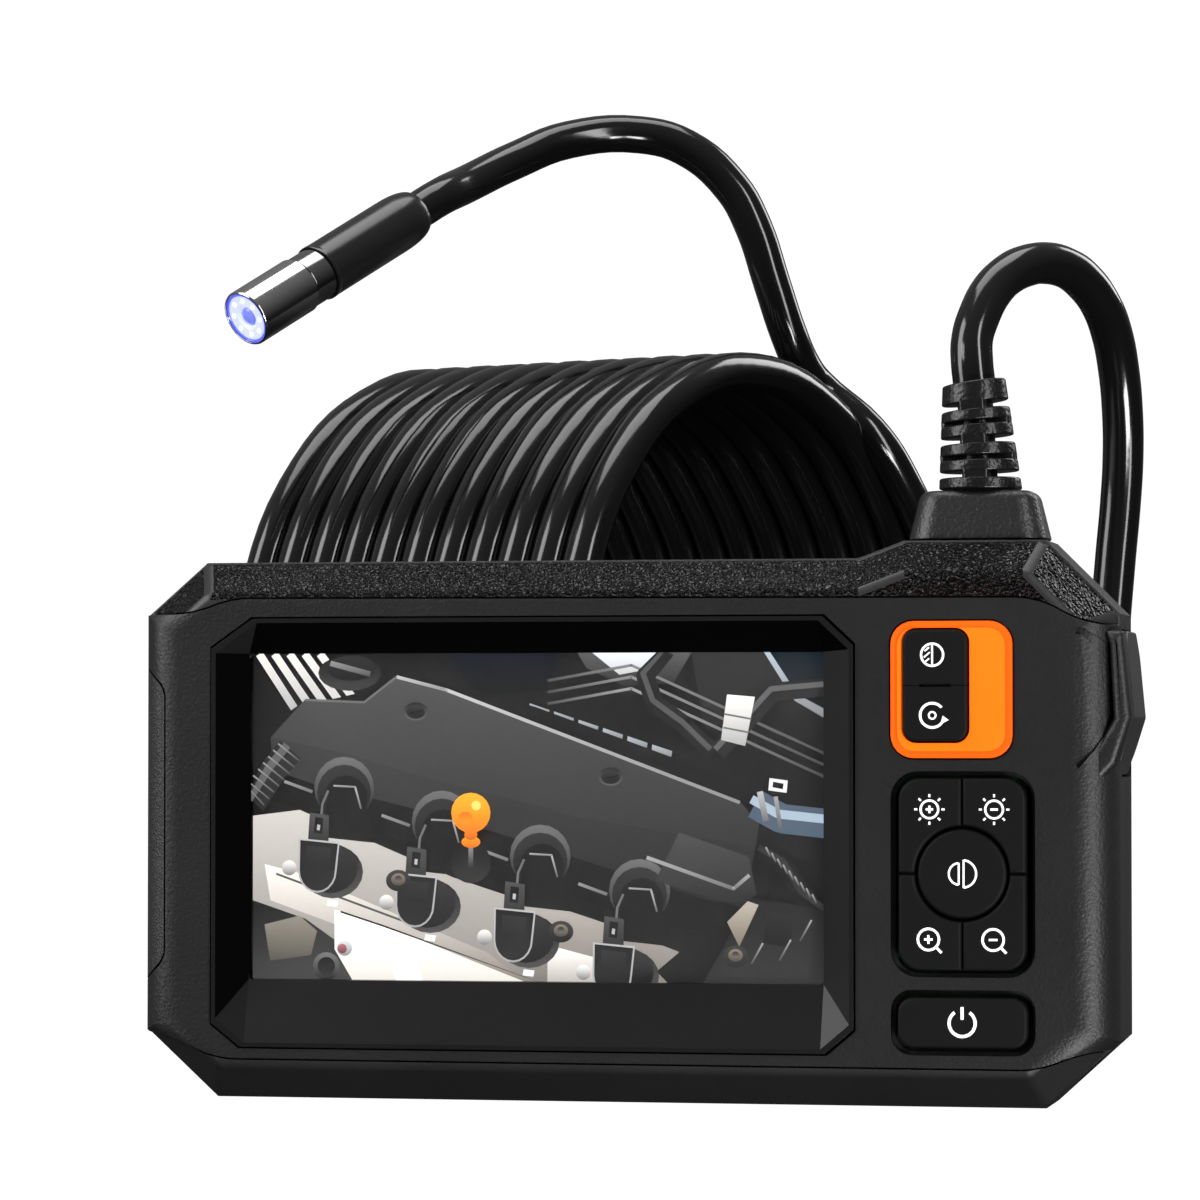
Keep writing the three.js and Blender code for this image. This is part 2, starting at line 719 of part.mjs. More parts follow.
function coil() {
  const half = coilLength / 2;
  const ring = turned(ringProfile(coilRadius - cableRadius, coilRadius + cableRadius, -half, half), 48);
  return toGeometry(ring).rotateY(Math.PI / 2);
}
const coilMesh = add("cable_coil", coil(), blackRubber);
coilMesh.rotation.z = coilTurn;
coilMesh.position.copy(coilCentre);

// The lead starts a little tilted, so a thicker cable starts a little higher to clear the strain relief.
const leadTilt = 0.3 / 3;
const leadStart = reliefZ + reliefHeight + leadTilt * cableRadius - 0.05;
const leadRoute = [
  [outletX - reliefLean, 0, leadStart],
  [outletX - reliefLean - 3 * leadTilt, 0, leadStart + 3],
  [55.9, 0.9, 124.8],
  [56.8, 2.8, 128.8],
  [58.6, 6, 133.3],
  [61, 9.3, 136.3],
  [63.5, 12.3, 137.9],
  [66.1, 15.3, 138.6],
  [69.4, 19.3, 138.1],
  [72.1, 23.5, 136.1],
  [74.4, 28, 132.6],
  [75.8, 32, 128.2],
  [76.6, 35.5, 122.5],
  [77, 38.3, 115.3],
  [76.9, 40.3, 107.5],
  [76.3, 41.6, 99.5],
  [75.4, 42.2, 90.5],
  [74.2, 42.2, 76],
  [73.2, 42.2, 58],
  [71.4, 42.2, 40],
  [66.5, 42.2, 25],
  [57.5, 42.2, 13.2],
  [45, 42.2, 6.4],
  [30, 42.2, 4.1],
  [12, 42.2, 4.1],
  [-8, 42.2, 4.1],
  [-28, 42.2, 4.1],
  [-44, 42.2, 4.1],
  [-57, 45, 4.1],
  [-68.5, 52.3, 4.1],
  [-76, 63, 4.1],
  [-78, 74, 4.1],
  [-74.9, 85.3, 4.1],
];
add("cable_lead", tube(leadRoute), blackRubber);

// A place over the coil: so far along its axis, so far round from its far side, so far above its turns.
function overCoil(along, angle, rise) {
  const turn = THREE.MathUtils.degToRad(angle);
  const reach = coilRadius + cableDiameter + rise;
  const away = reach * Math.cos(turn);
  return [
    coilCentre.x + along * Math.cos(coilTurn) - away * Math.sin(coilTurn),
    coilCentre.y + along * Math.sin(coilTurn) + away * Math.cos(coilTurn),
    coilCentre.z + reach * Math.sin(turn),
  ];
}

const tailRoute = [
  overCoil(28.1, 62.3, 0.4),
  overCoil(27.5, 66.9, 1.6),
  [8.2, 107.8, 135],
  [5.4, 105, 144.6],
  [2.2, 103.4, 155],
  [-1.9, 102.8, 162.5],
  [-10.4, 101.5, 169.9],
  [-18.6, 99.5, 172.2],
  [-30.8, 93, 170.8],
  [-39.3, 84.5, 166.1],
  [-46, 73.4, 160.6],
  [-49, 65.8, 157.6],
  [-52.4, 60.9, 154.4],
];
add("cable_tail", tube(tailRoute), blackRubber);

// ---------- camera probe, built along its own Z axis with the lens end at zero ----------
const probe = new THREE.Group();
const probeAxis = new THREE.Vector3(-0.5, -0.72, -0.477).normalize();
const probeRear = new THREE.Vector3(...tailRoute.at(-1)).addScaledVector(probeAxis, gap);
probe.quaternion.setFromUnitVectors(new THREE.Vector3(0, 0, 1), probeAxis);
probe.position.copy(probeRear).addScaledVector(probeAxis, probeLength);
camera.add(probe);

const probeRadius = probeDiameter / 2;
const capLength = 13.7;
const neckLength = 4.6;
const probeBore = probeRadius - 0.8;
const sleeveFloor = 8; // solid rear of the sleeve

function probeCap() {
  return turned(
    [
      [probeBore, -capLength],
      [probeRadius, -capLength],
      [probeRadius, -0.4],
      [probeRadius - 0.3, 0],
      [probeRadius - 0.7, 0],
      [probeBore, -0.3],
      [probeBore, -capLength],
    ],
    20,
  );
}
add("probe_cap", probeCap(), steel, probe);
const neckTop = -capLength - gap;
const neck = turned(ringProfile(probeBore - 0.6, probeRadius - 0.3, neckTop - neckLength, neckTop), 20);
add("probe_neck", neck, glossBlack, probe);

const sleeveTop = neckTop - neckLength - gap;
const sleeve = turned(
  [
    [0, -probeLength],
    [cableRadius + 0.3, -probeLength],
    [probeRadius - 0.5, -probeLength + 2.2],
    [probeRadius, -probeLength + 5],
    [probeRadius, sleeveTop],
    [probeBore, sleeveTop],
    [probeBore, -probeLength + sleeveFloor],
    [0, -probeLength + sleeveFloor],
  ],
  20,
);
add("probe_sleeve", sleeve, blackRubber, probe);

const insideCap = probeBore - gap;
const windowBack = -1.4;
const windowFront = -0.5;
const paneProfile = [[0, windowBack], [insideCap, windowBack], [insideCap, windowFront], [0, windowFront]];
const pane = turned(paneProfile, 20);
add("probe_window", pane, glass, probe);
const barrelRadius = 1.6;
const ledBoardTop = windowBack - 1.2;
const ledBoardBottom = ledBoardTop - 0.8;
const ledBoard = turned(ringProfile(barrelRadius + gap, insideCap, ledBoardBottom, ledBoardTop), 20);
add("led_board", ledBoard, boardGreen, probe);
const barrelTop = windowBack - gap;
const barrelBottom = ledBoardBottom - 3;
const barrel = turned(ringProfile(barrelRadius - 0.5, barrelRadius, barrelBottom, barrelTop), 14);
add("lens_barrel", barrel, steel, probe);
const lensRadius = barrelRadius - 0.5 - 0.15;
const lensProfile = [[0, -0.9], [lensRadius, -0.9], [lensRadius, -0.3], [lensRadius / 2, -0.08], [0, 0]];
const lens = turned(lensProfile, 12);
add("lens", lens.translate([0, 0, barrelTop - 0.5]), glass, probe);
const sensor = toSolid(new THREE.BoxGeometry(5, 5, 2.4).translate(0, 0, barrelBottom - gap - 1.2));
add("image_sensor", sensor, boardGreen, probe);

for (let i = 0; i < ledCount; i++) {
  const angle = (i / ledCount) * 2 * Math.PI;
  const led = new THREE.BoxGeometry(1, 1, 0.6);
  led.translate((barrelRadius + insideCap) / 2 + 0.15, 0, ledBoardTop + 0.02 + 0.3).rotateZ(angle);
  add("led_" + (i + 1), led, ledWhite, probe);
}

export default camera;
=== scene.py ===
# A handheld inspection camera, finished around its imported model: screen unit, keys, cable and camera probe.
import math

import bmesh
import bpy
from mathutils import Matrix, Vector


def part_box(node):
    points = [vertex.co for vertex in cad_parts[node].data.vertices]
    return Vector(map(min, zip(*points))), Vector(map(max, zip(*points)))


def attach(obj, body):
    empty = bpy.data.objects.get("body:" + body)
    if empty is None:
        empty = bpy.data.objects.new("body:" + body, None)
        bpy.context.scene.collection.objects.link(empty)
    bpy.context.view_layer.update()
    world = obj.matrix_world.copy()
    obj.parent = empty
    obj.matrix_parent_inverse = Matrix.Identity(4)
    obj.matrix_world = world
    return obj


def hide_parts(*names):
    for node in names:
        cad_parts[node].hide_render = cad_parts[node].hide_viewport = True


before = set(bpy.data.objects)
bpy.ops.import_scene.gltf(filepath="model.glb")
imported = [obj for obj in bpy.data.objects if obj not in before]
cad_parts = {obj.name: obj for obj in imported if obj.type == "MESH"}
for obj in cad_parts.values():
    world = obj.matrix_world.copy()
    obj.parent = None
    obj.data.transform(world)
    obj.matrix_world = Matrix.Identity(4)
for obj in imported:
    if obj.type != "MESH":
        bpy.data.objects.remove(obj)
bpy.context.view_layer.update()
MM = 0.001
ROOT = "screen_unit"


def add(name, data):
    """A new object in the scene."""
    made = bpy.data.objects.new(name, data)
    bpy.context.scene.collection.objects.link(made)
    return made


# ---------- camera ----------
CAMERA_PLACE = Vector((155.4, -801.3, 59.6)) * MM
CAMERA_TURN = math.radians(11.4)
CAMERA_RISE = math.radians(1.6)
CAMERA_LENS = 147.7
SENSOR_WIDTH = 36

camera = add("camera", bpy.data.cameras.new("camera"))
camera.location = CAMERA_PLACE
camera.rotation_euler = (math.pi / 2 + CAMERA_RISE, 0, CAMERA_TURN)
camera.data.lens = CAMERA_LENS
camera.data.sensor_width = SENSOR_WIDTH
camera.data.clip_start = 0.01
bpy.context.scene.camera = camera


# ---------- cable route, in millimetres ----------
CABLE_DIAMETER = 7.0
COIL_RADIUS = 61.2
COIL_PITCH = 7.05
COIL_TURNS = 11.25
COIL_HEADING = math.radians(-23.6)
COIL_AXIS = Vector((math.cos(COIL_HEADING), math.sin(COIL_HEADING), 0))
COIL_SIDE = Vector((-COIL_AXIS.y, COIL_AXIS.x, 0))
COIL_CENTRE = Vector((-26, 97.8, 65.1))
UP = Vector((0, 0, 1))
POINTS_PER_TURN = 16

LEAD_ROUTE = [
    (56.3, 0, 118), (56, 0, 121), (55.9, 0.9, 124.8), (56.8, 2.8, 128.8), (58.6, 6, 133.3), (61, 9.3, 136.3),
    (63.5, 12.3, 137.9), (66.1, 15.3, 138.6), (69.4, 19.3, 138.1), (72.1, 23.5, 136.1), (74.4, 28, 132.6),
    (75.8, 32, 128.2), (76.6, 35.5, 122.5), (77, 38.3, 115.3), (76.9, 40.3, 107.5), (76.3, 41.6, 99.5),
    (75.4, 42.2, 90.5), (74.2, 42.2, 76), (73.2, 42.2, 58), (71.4, 42.2, 40), (66.5, 42.2, 25),
    (57.5, 42.2, 13.2), (45, 42.2, 6.4), (30, 42.2, 4.1), (12, 42.2, 4.1), (-8, 42.2, 4.1), (-28, 42.2, 4.1),
    (-44, 42.2, 4.1), (-57, 45, 4.1), (-68.5, 52.3, 4.1), (-76, 63, 4.1), (-78, 74, 4.1), (-74.9, 85.3, 4.1),
]
# up the last turn's far side and over it: distances along the coil's axis, away from it and upwards
CLIMB = [(39.7, 61.2, 0), (39.9, 55.3, 25.8), (39.6, 42.6, 43.6), (36.6, 36.2, 52.2)]
TAIL_ROUTE = [
    (12.5, 115.8, 125.8), (10.2, 111.9, 129.3), (8.2, 107.8, 135), (5.4, 105, 144.6), (2.2, 103.4, 155),
    (-1.9, 102.8, 162.5), (-10.4, 101.5, 169.9), (-18.6, 99.5, 172.2), (-30.8, 93, 170.8),
    (-39.3, 84.5, 166.1), (-46, 73.4, 160.6), (-49, 65.8, 157.6), (-52.4, 60.9, 154.4),
]


def coil_points():
    """The coil's turns, from its left end on the floor to the right end's far side."""
    half = COIL_TURNS * COIL_PITCH / 2
    for i in range(round(COIL_TURNS * POINTS_PER_TURN)):
        turn = i / POINTS_PER_TURN
        angle = 2 * math.pi * turn - math.pi / 2
        around = COIL_SIDE * math.cos(angle) + UP * math.sin(angle)
        yield COIL_CENTRE + COIL_AXIS * (turn * COIL_PITCH - half) + around * COIL_RADIUS


def link(name, data, body=ROOT):
    """A piece of the object, which rides on one of its bodies."""
    piece = add(name, data)
    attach(piece, body)
    return piece


def cable():
    data = bpy.data.curves.new("cable", "CURVE")
    data.dimensions = "3D"
    data.bevel_depth = 1.0  # times each knot's radius, which is the cable's own
    data.bevel_resolution = 6
    data.resolution_u = 5
    data.use_fill_caps = True
    points = [Vector(p) for p in LEAD_ROUTE] + list(coil_points())
    points += [COIL_CENTRE + COIL_AXIS * along + COIL_SIDE * away + UP * up for along, away, up in CLIMB]
    points += [Vector(p) for p in TAIL_ROUTE]
    spline = data.splines.new("BEZIER")
    spline.bezier_points.add(len(points) - 1)
    for knot, point in zip(spline.bezier_points, points):
        knot.co = point * MM
        knot.radius = CABLE_DIAMETER / 2 * MM
        knot.handle_left_type = knot.handle_right_type = "AUTO"
    return link("cable", data)


# ---------- shader groups ----------
def group(name, inputs, outputs):
    """An empty shader group: its tree, the sockets that come in, and its output node."""
    tree = bpy.data.node_groups.new(name, "ShaderNodeTree")
    for direction, sockets in (("INPUT", inputs), ("OUTPUT", outputs)):
        for label, kind in sockets:
            tree.interface.new_socket(name=label, in_out=direction, socket_type="NodeSocket" + kind)
    return tree, tree.nodes.new("NodeGroupInput").outputs, tree.nodes.new("NodeGroupOutput")


def shader_node(tree, kind, feeds=None, **settings):
    """A node with its settings. feeds has what goes into its inputs, each a socket or a plain value."""
    made = tree.nodes.new("ShaderNode" + kind)
    for label, value in settings.items():
        setattr(made, label, value)
    for slot, value in (feeds or {}).items():
        if isinstance(value, bpy.types.NodeSocket):
            tree.links.new(value, made.inputs[slot])
        else:
            made.inputs[slot].default_value = value
    return made


def maths(tree, operation, *operands):
    return shader_node(tree, "Math", dict(enumerate(operands)), operation=operation).outputs[0]


def noise(tree, vector, scale, detail=2.0):
    return shader_node(tree, "TexNoise", {"Vector": vector, "Scale": scale, "Detail": detail}).outputs


def grain_group(name):
    return group(name, [("Vector", "Vector"), ("Scale", "Float")], [("Height", "Float")])


LEATHER_WARP = 0.0006  # metres by which the leather's cells are pulled out of shape
PEBBLE_SLOPE = 0.34  # how much of a pebble is its rounded edge


def leather_group():
    """Rubber moulded with a leather grain: rounded pebbles between fine creases."""
    tree, into, out = grain_group("leather_grain")
    wander = noise(tree, into["Vector"], maths(tree, "MULTIPLY", into["Scale"], 0.6), 1.0)
    bend = shader_node(
        tree, "VectorMath", {0: wander["Color"], 1: (LEATHER_WARP,) * 3, 2: into["Vector"]},
        operation="MULTIPLY_ADD",
    )
    cells = shader_node(
        tree, "TexVoronoi", {"Vector": bend.outputs[0], "Scale": into["Scale"]}, feature="DISTANCE_TO_EDGE",
    )
    pebble = shader_node(
        tree, "MapRange", {"Value": cells.outputs["Distance"], "From Max": PEBBLE_SLOPE},
        interpolation_type="SMOOTHSTEP",
    )
    tree.links.new(pebble.outputs["Result"], out.inputs["Height"])
    return tree


def spark_group():
    """The fine even texture of a moulded plastic case."""
    tree, into, out = grain_group("spark_grain")
    coarse = noise(tree, into["Vector"], into["Scale"], 3.0)["Fac"]
    cells = shader_node(
        tree, "TexVoronoi", {"Vector": into["Vector"], "Scale": into["Scale"]}, feature="SMOOTH_F1",
    )
    tree.links.new(maths(tree, "ADD", coarse, cells.outputs["Distance"]), out.inputs["Height"])
    return tree


def handling_group():
    """Slow changes of gloss and tone over a surface that hands have touched."""
    tree, into, out = group(
        "handling",
        [
            ("Vector", "Vector"), ("Roughness", "Float"), ("Spread", "Float"), ("Dark", "Color"),
            ("Light", "Color"),
        ],
        [("Roughness", "Float"), ("Color", "Color")],
    )
    slow = noise(tree, into["Vector"], 45.0, 3.0)["Fac"]
    fine = noise(tree, into["Vector"], 700.0)["Fac"]
    both = maths(tree, "ADD", maths(tree, "MULTIPLY", slow, 0.7), maths(tree, "MULTIPLY", fine, 0.3))
    change = maths(tree, "MULTIPLY", maths(tree, "SUBTRACT", both, 0.5), into["Spread"])
    tree.links.new(maths(tree, "ADD", into["Roughness"], change), out.inputs["Roughness"])
    # a colour mix has its two colours at inputs 6 and 7 and its result at output 2
    mix = shader_node(tree, "Mix", {"Factor": both, 6: into["Dark"], 7: into["Light"]}, data_type="RGBA")
    tree.links.new(mix.outputs[2], out.inputs["Color"])
    return tree


LEATHER = leather_group()
SPARK = spark_group()
HANDLING = handling_group()


# ---------- materials ----------
TONE_SPREAD = (0.8, 1.2)  # the darkest and the lightest share of a material's tone


def shade(name, tone, roughness, spread, grain=None, scale=None, depth=0.0, creases=False, **sockets):
    """A material whose tone and gloss wander a little, with a moulded grain where one is given.

    depth is the grain's height in millimetres, creases darkens the low parts of the grain as painted
    shade, and sockets sets the shader's own inputs.
    """
    material = bpy.data.materials.new(name)
    material.use_nodes = True
    tree = material.node_tree
    shader = tree.nodes["Principled BSDF"].inputs
    place = shader_node(tree, "TexCoord").outputs["Object"]
    dark, light = ((*(min(1.0, c * share) for c in tone), 1) for share in TONE_SPREAD)
    feeds = {"Vector": place, "Roughness": roughness, "Spread": spread, "Dark": dark, "Light": light}
    touched = shader_node(tree, "Group", feeds, node_tree=HANDLING).outputs
    colour = touched["Color"]
    if grain:
        pattern = shader_node(tree, "Group", {"Vector": place, "Scale": scale}, node_tree=grain)
        height = pattern.outputs["Height"]
        bump = shader_node(tree, "Bump", {"Distance": depth * MM, "Height": height})
        tree.links.new(bump.outputs["Normal"], shader["Normal"])
        if creases:
            # painted shade: the colour is scaled by the grain's height, so its low parts are darker
            feeds = {0: colour, "Scale": height}
            colour = shader_node(tree, "VectorMath", feeds, operation="SCALE").outputs[0]
    tree.links.new(touched["Roughness"], shader["Roughness"])
    tree.links.new(colour, shader["Base Color"])
    for label, value in sockets.items():
        shader[label.replace("_", " ")].default_value = value
    return material


def grey(value):
    return (value, value, value)


HOUSING = shade("housing_plastic", grey(0.009), 0.44, 0.16, SPARK, 2000.0, 0.05, Specular_IOR_Level=0.36)
BUMPER = shade("bumper_rubber", grey(0.01), 0.46, 0.14, SPARK, 3400.0, 0.008)
# the top bumper's grain carries painted shade in its creases
BUMPER_GRAIN = shade(
    "bumper_grain", grey(0.003), 0.22, 0.1, LEATHER, 1300.0, 0.6, creases=True, Specular_IOR_Level=0.22,
)
GRIP = shade("grip_rubber", grey(0.011), 0.5, 0.12, LEATHER, 1900.0, 0.05)
BEZEL = shade("bezel_gloss", grey(0.007), 0.32, 0.08, SPARK, 5200.0, 0.003, Specular_IOR_Level=0.26)
# painted shade: a darker copy of the bezel's gloss with no reflection, for the slopes above and on the left
# of the window
BEZEL_PAINTED_SHADE = shade("bezel_painted_shade", grey(0.0015), 0.3, 0.04, SPARK, 5200.0, 0.003, Specular_IOR_Level=0.0)
# painted light: the orange trim glows a little, though it is no lamp
SELF_LIT_ORANGE = shade(
    "orange_trim", (1.0, 0.14, 0.003), 0.3, 0.06, SPARK, 4200.0, 0.003,
    Emission_Color=(1.0, 0.16, 0.003, 1), Emission_Strength=0.5,
)
# painted shade: a darker copy of the orange with a weaker painted glow, for the frame's set-back faces
ORANGE_PAINTED_SHADE = shade(
    "orange_edge_painted_shade", (1.0, 0.1, 0.002), 0.3, 0.06, SPARK, 4200.0, 0.003,
    Emission_Color=(1.0, 0.085, 0.002, 1), Emission_Strength=0.4,
)
KEY = shade("key_rubber", grey(0.003), 0.62, 0.1, SPARK, 4200.0, 0.006, Specular_IOR_Level=0.14)
# painted light: the white print glows a little, though it is no lamp
GLOWING_PRINT = shade("key_print_painted_glow", grey(0.86), 0.5, 0.06, Emission_Color=(1, 1, 1, 1), Emission_Strength=0.45)
BOOT = shade("boot_rubber", grey(0.009), 0.4, 0.14, SPARK, 1800.0, 0.08)
RELIEF = shade("relief_rubber", grey(0.004), 0.3, 0.12, SPARK, 1500.0, 0.08, Specular_IOR_Level=0.4)
CABLE = shade("cable_jacket", grey(0.004), 0.13, 0.05, SPARK, 900.0, 0.002)
CHROME = shade("probe_metal", grey(0.55), 0.1, 0.02, Metallic=1.0)
NECK = shade("probe_neck_metal", grey(0.3), 0.12, 0.02, Metallic=1.0)
SLEEVE = shade("probe_shell", grey(0.007), 0.22, 0.06, SPARK, 4000.0, 0.002)
STEEL = shade("screw_steel", grey(0.55), 0.32, 0.12, SPARK, 5000.0, 0.004, Metallic=1.0)
SOCKET = shade("socket_steel", grey(0.62), 0.26, 0.1, SPARK, 5000.0, 0.003, Metallic=1.0)
GLASS = shade("display_glass", grey(0.98), 0.03, 0.01, Transmission_Weight=1.0, IOR=1.12)
LENS = shade("lens_glass", (0.25, 0.33, 0.95), 0.05, 0.02, Transmission_Weight=0.5, IOR=1.5)
MODULE = shade("display_module", grey(0.05), 0.45, 0.1, SPARK, 3000.0, 0.006)
FOAM = shade("seal_foam", grey(0.02), 0.9, 0.1, SPARK, 2200.0, 0.03)
BOARD = shade("circuit_board", (0.012, 0.085, 0.032), 0.38, 0.12, SPARK, 1500.0, 0.01)
BATTERY = shade("battery_wrap", (0.03, 0.1, 0.32), 0.36, 0.1, SPARK, 1200.0, 0.01)
CONNECTOR = shade("connector_plastic", (0.75, 0.73, 0.66), 0.5, 0.1, SPARK, 3000.0, 0.006)
LED = shade(
    "led_emitter", (0.8, 0.84, 1.0), 0.4, 0.05, Emission_Color=(0.72, 0.78, 1.0, 1), Emission_Strength=3.0,
)
RING = shade(
    "light_ring", (0.5, 0.54, 0.95), 0.2, 0.05, Emission_Color=(0.52, 0.57, 1.0, 1), Emission_Strength=0.62,
)
RING_EDGE = shade(
    "light_ring_edge", (0.1, 0.13, 0.7), 0.2, 0.05,
    Emission_Color=(0.12, 0.16, 0.9, 1), Emission_Strength=0.6,
)
# painted light: the lens glows blue, though it is no lamp
GLOWING_PUPIL = shade(
    "lens_pupil_painted_glow", (0.16, 0.2, 0.7), 0.08, 0.03, Emission_Color=(0.22, 0.26, 0.8, 1), Emission_Strength=0.4,
)


# ---------- cord ----------
cord = cable()
cord.data.materials.append(CABLE)
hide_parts("cable_lead", "cable_coil", "cable_tail")


# ---------- places read from the frame, in millimetres ----------
def span(node):
    low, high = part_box(node)
    return low / MM, high / MM


def face_box(node, grow=0.0):
    """A node's sides in X and Z: x0, x1, z0, z1."""
    low, high = span(node)
    return low.x - grow, high.x + grow, low.z - grow, high.z + grow


def centre(node):
    x0, x1, z0, z1 = face_box(node)
    return (x0 + x1) / 2, (z0 + z1) / 2


GAP = 0.3
NEAR = 0.01  # two places this close are one
FRONT = span("front_housing")[0].y
REAR = span("rear_housing")[1].y
SIDE = span("rear_housing")[1].x
HUMP = span("top_bumper")[1].z
TOP = HUMP - 2.8
EDGE_ROUND = 7.0
PARTING_TOP = TOP - 6.3
PARTING_BOTTOM = 6.7
CASE_WALL = 2.2
CORE_INSET = 2.9  # the housings' core under the bumpers
BUMPER_INSIDE = 2.6
BAND_CORNER = 3.2
BEYOND = 200.0  # past the end of every piece
OUTLINE = [
    (-SIDE + 12, 0), (SIDE - 12, 0), (SIDE, 11), (SIDE, TOP - 9.2), (SIDE - 12, HUMP), (SIDE - 35, HUMP),
    (SIDE - 42.5, TOP), (-SIDE + 10, TOP), (-SIDE, TOP - 8.7), (-SIDE, 11),
]


def band_outline(trim):
    """The band between the two bumpers, both of its edges moved in by trim."""
    far = SIDE + 10
    return [
        (-far, TOP - 8.6 - trim), (-far, 11.2 + trim), (-SIDE + 5, 10.4 + trim),
        (-SIDE + 13.4, PARTING_BOTTOM + trim), (SIDE - 12.2, PARTING_BOTTOM - 0.2 + trim),
        (SIDE - 6.6, 9 + trim), (far, 10.4 + trim),
        (far, TOP - 11.6 - trim), (SIDE - 4.9, TOP - 10.8 - trim), (SIDE - 12.8, PARTING_TOP - 0.3 - trim),
        (-SIDE + 15.8, PARTING_TOP + 0.2 - trim), (-SIDE + 9.8, TOP - 8.6 - trim),
    ]


# ---------- shaping ----------
def moved(geometry):
    return [v for v in geometry if isinstance(v, bmesh.types.BMVert)]


def bevel(bm, edges, width, segments, **limits):
    bmesh.ops.bevel(
        bm, geom=edges, offset=width, segments=segments, profile=0.5, affect="EDGES", material=-1, **limits,
    )


def running(bm, axis):
    """The edges that run along an axis, given as 0, 1 or 2."""
    return [e for e in bm.edges if abs(e.verts[0].co[axis] - e.verts[1].co[axis]) > NEAR]


def drawn(outline, y0, y1, corner=0.0, inset=0.0):
    """A closed outline in X and Z, drawn out from y0 back to y1."""
    bm = bmesh.new()
    face = bm.faces.new([bm.verts.new((x, y0, z)) for x, z in outline])
    if inset:
        rim = bmesh.ops.inset_region(bm, faces=[face], thickness=inset, use_even_offset=True)["faces"]
        bmesh.ops.delete(bm, geom=rim, context="FACES")
    drawn_out = bmesh.ops.extrude_face_region(bm, geom=list(bm.faces))["geom"]
    bmesh.ops.translate(bm, vec=(0, y1 - y0, 0), verts=moved(drawn_out))
    if corner:
        bevel(bm, running(bm, 1), corner, 6)
    bmesh.ops.recalc_face_normals(bm, faces=bm.faces)
    return bm


def oblong(box):
    """The four corners of a box of x0, x1, z0 and z1."""
    x0, x1, z0, z1 = box
    return [(x0, z0), (x1, z0), (x1, z1), (x0, z1)]


def rounded_block(box, y0, y1, corner=0.0):
    return drawn(oblong(box), y0, y1, corner)


def soften(bm, width, segments=2, angle=35, only=None):
    """Rounds the edges that turn by more than the given angle."""
    sharp = [e for e in bm.edges if len(e.link_faces) == 2 and e.calc_face_angle(0) > math.radians(angle)]
    if only:
        sharp = [e for e in sharp if only(e)]
    bevel(bm, sharp, width, segments, clamp_overlap=True)


def spin(bm, geometry, middle, axis, sweep, steps):
    """Turns geometry about an axis by an angle in degrees; a full turn closes on itself."""
    bmesh.ops.spin(
        bm, geom=geometry, cent=middle, axis=axis, dvec=(0, 0, 0), angle=math.radians(sweep), steps=steps,
        use_merge=sweep >= 360, use_normal_flip=False, use_duplicate=False,
    )


def upright_block(size, corner, segments):
    """A block about the origin with its upright edges rounded."""
    bm = bmesh.new()
    made = bmesh.ops.create_cube(bm, size=1)["verts"]
    bmesh.ops.scale(bm, vec=size, verts=made)
    bevel(bm, running(bm, 2), corner, segments)
    return bm


def cylinder(radius, length, segments=48, tip=None):
    """A cylinder about the Z axis, or a cone where its tip has another radius."""
    bm = bmesh.new()
    bmesh.ops.create_cone(
        bm, cap_ends=True, segments=segments, radius1=radius, radius2=tip or radius, depth=length,
    )
    return bm


def shifted(bm, x, y, z):
    bmesh.ops.translate(bm, vec=(x, y, z), verts=bm.verts)
    return bm


def along_y(bm):
    bmesh.ops.rotate(bm, matrix=Matrix.Rotation(math.pi / 2, 3, "X"), verts=bm.verts)
    return bm


def in_front(y):
    """Picks the edges that lie on the plane at y."""
    return lambda edge: all(abs(v.co.y - y) < NEAR for v in edge.verts)


def combine(bm, operation, *tools):
    """The shape after a boolean with each tool in turn: DIFFERENCE, UNION or INTERSECT."""
    helpers = []
    for shape in (bm, *tools):
        data = bpy.data.meshes.new("helper")
        shape.to_mesh(data)
        shape.free()
        helpers.append(add("helper", data))
    for tool in helpers[1:]:
        step = helpers[0].modifiers.new("step", "BOOLEAN")
        step.solver = "EXACT"
        step.operation = operation
        step.object = tool
    result = bmesh.new()
    result.from_object(helpers[0], bpy.context.evaluated_depsgraph_get())
    for helper in helpers:
        data = helper.data
        bpy.data.objects.remove(helper)
        bpy.data.meshes.remove(data)
    bmesh.ops.remove_doubles(result, verts=result.verts, dist=0.001)
    flat = math.radians(0.5)
    bmesh.ops.dissolve_limit(result, angle_limit=flat, verts=result.verts, edges=result.edges)
    return result


def cut(bm, *tools):
    return combine(bm, "DIFFERENCE", *tools)


def common(bm, *tools):
    return combine(bm, "INTERSECT", *tools)


def joined(shapes):
    """Several shapes side by side in one mesh."""
    whole = bmesh.new()
    for shape in shapes:
        data = bpy.data.meshes.new("helper")
        shape.to_mesh(data)
        shape.free()
        whole.from_mesh(data)
        bpy.data.meshes.remove(data)
    return whole


def place(name, bm, slot, materials, body=ROOT, replaces=(), crease=35):
    """Makes a shape a finished piece in the row's frame."""
    bmesh.ops.scale(bm, vec=(MM, MM, MM), verts=bm.verts)
    data = bpy.data.meshes.new(name)
    bm.to_mesh(data)
    bm.free()
    for material in materials:
        data.materials.append(material)
    data.shade_smooth()
    data.set_sharp_from_angle(angle=math.radians(crease))
    piece = link(name, data, body)
    if replaces:
        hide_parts(*replaces)
    even = piece.modifiers.new("even_shading", "WEIGHTED_NORMAL")
    even.keep_sharp = True
    return piece


# ---------- the screen unit's shells ----------
def rounded_blank(inset=0.0):
    """The whole unit with its front and rear edges rounded, or a smaller one inside it."""
    front, rear = FRONT + inset, REAR - inset
    bm = drawn(OUTLINE, front, rear, inset=inset)
    rim = [e for e in bm.edges if in_front(front)(e) or in_front(rear)(e)]
    bevel(bm, rim, EDGE_ROUND - inset, 8)
    return bm


BUMPER_SLOPE = 5.5  # how far in the bumpers' slopes reach


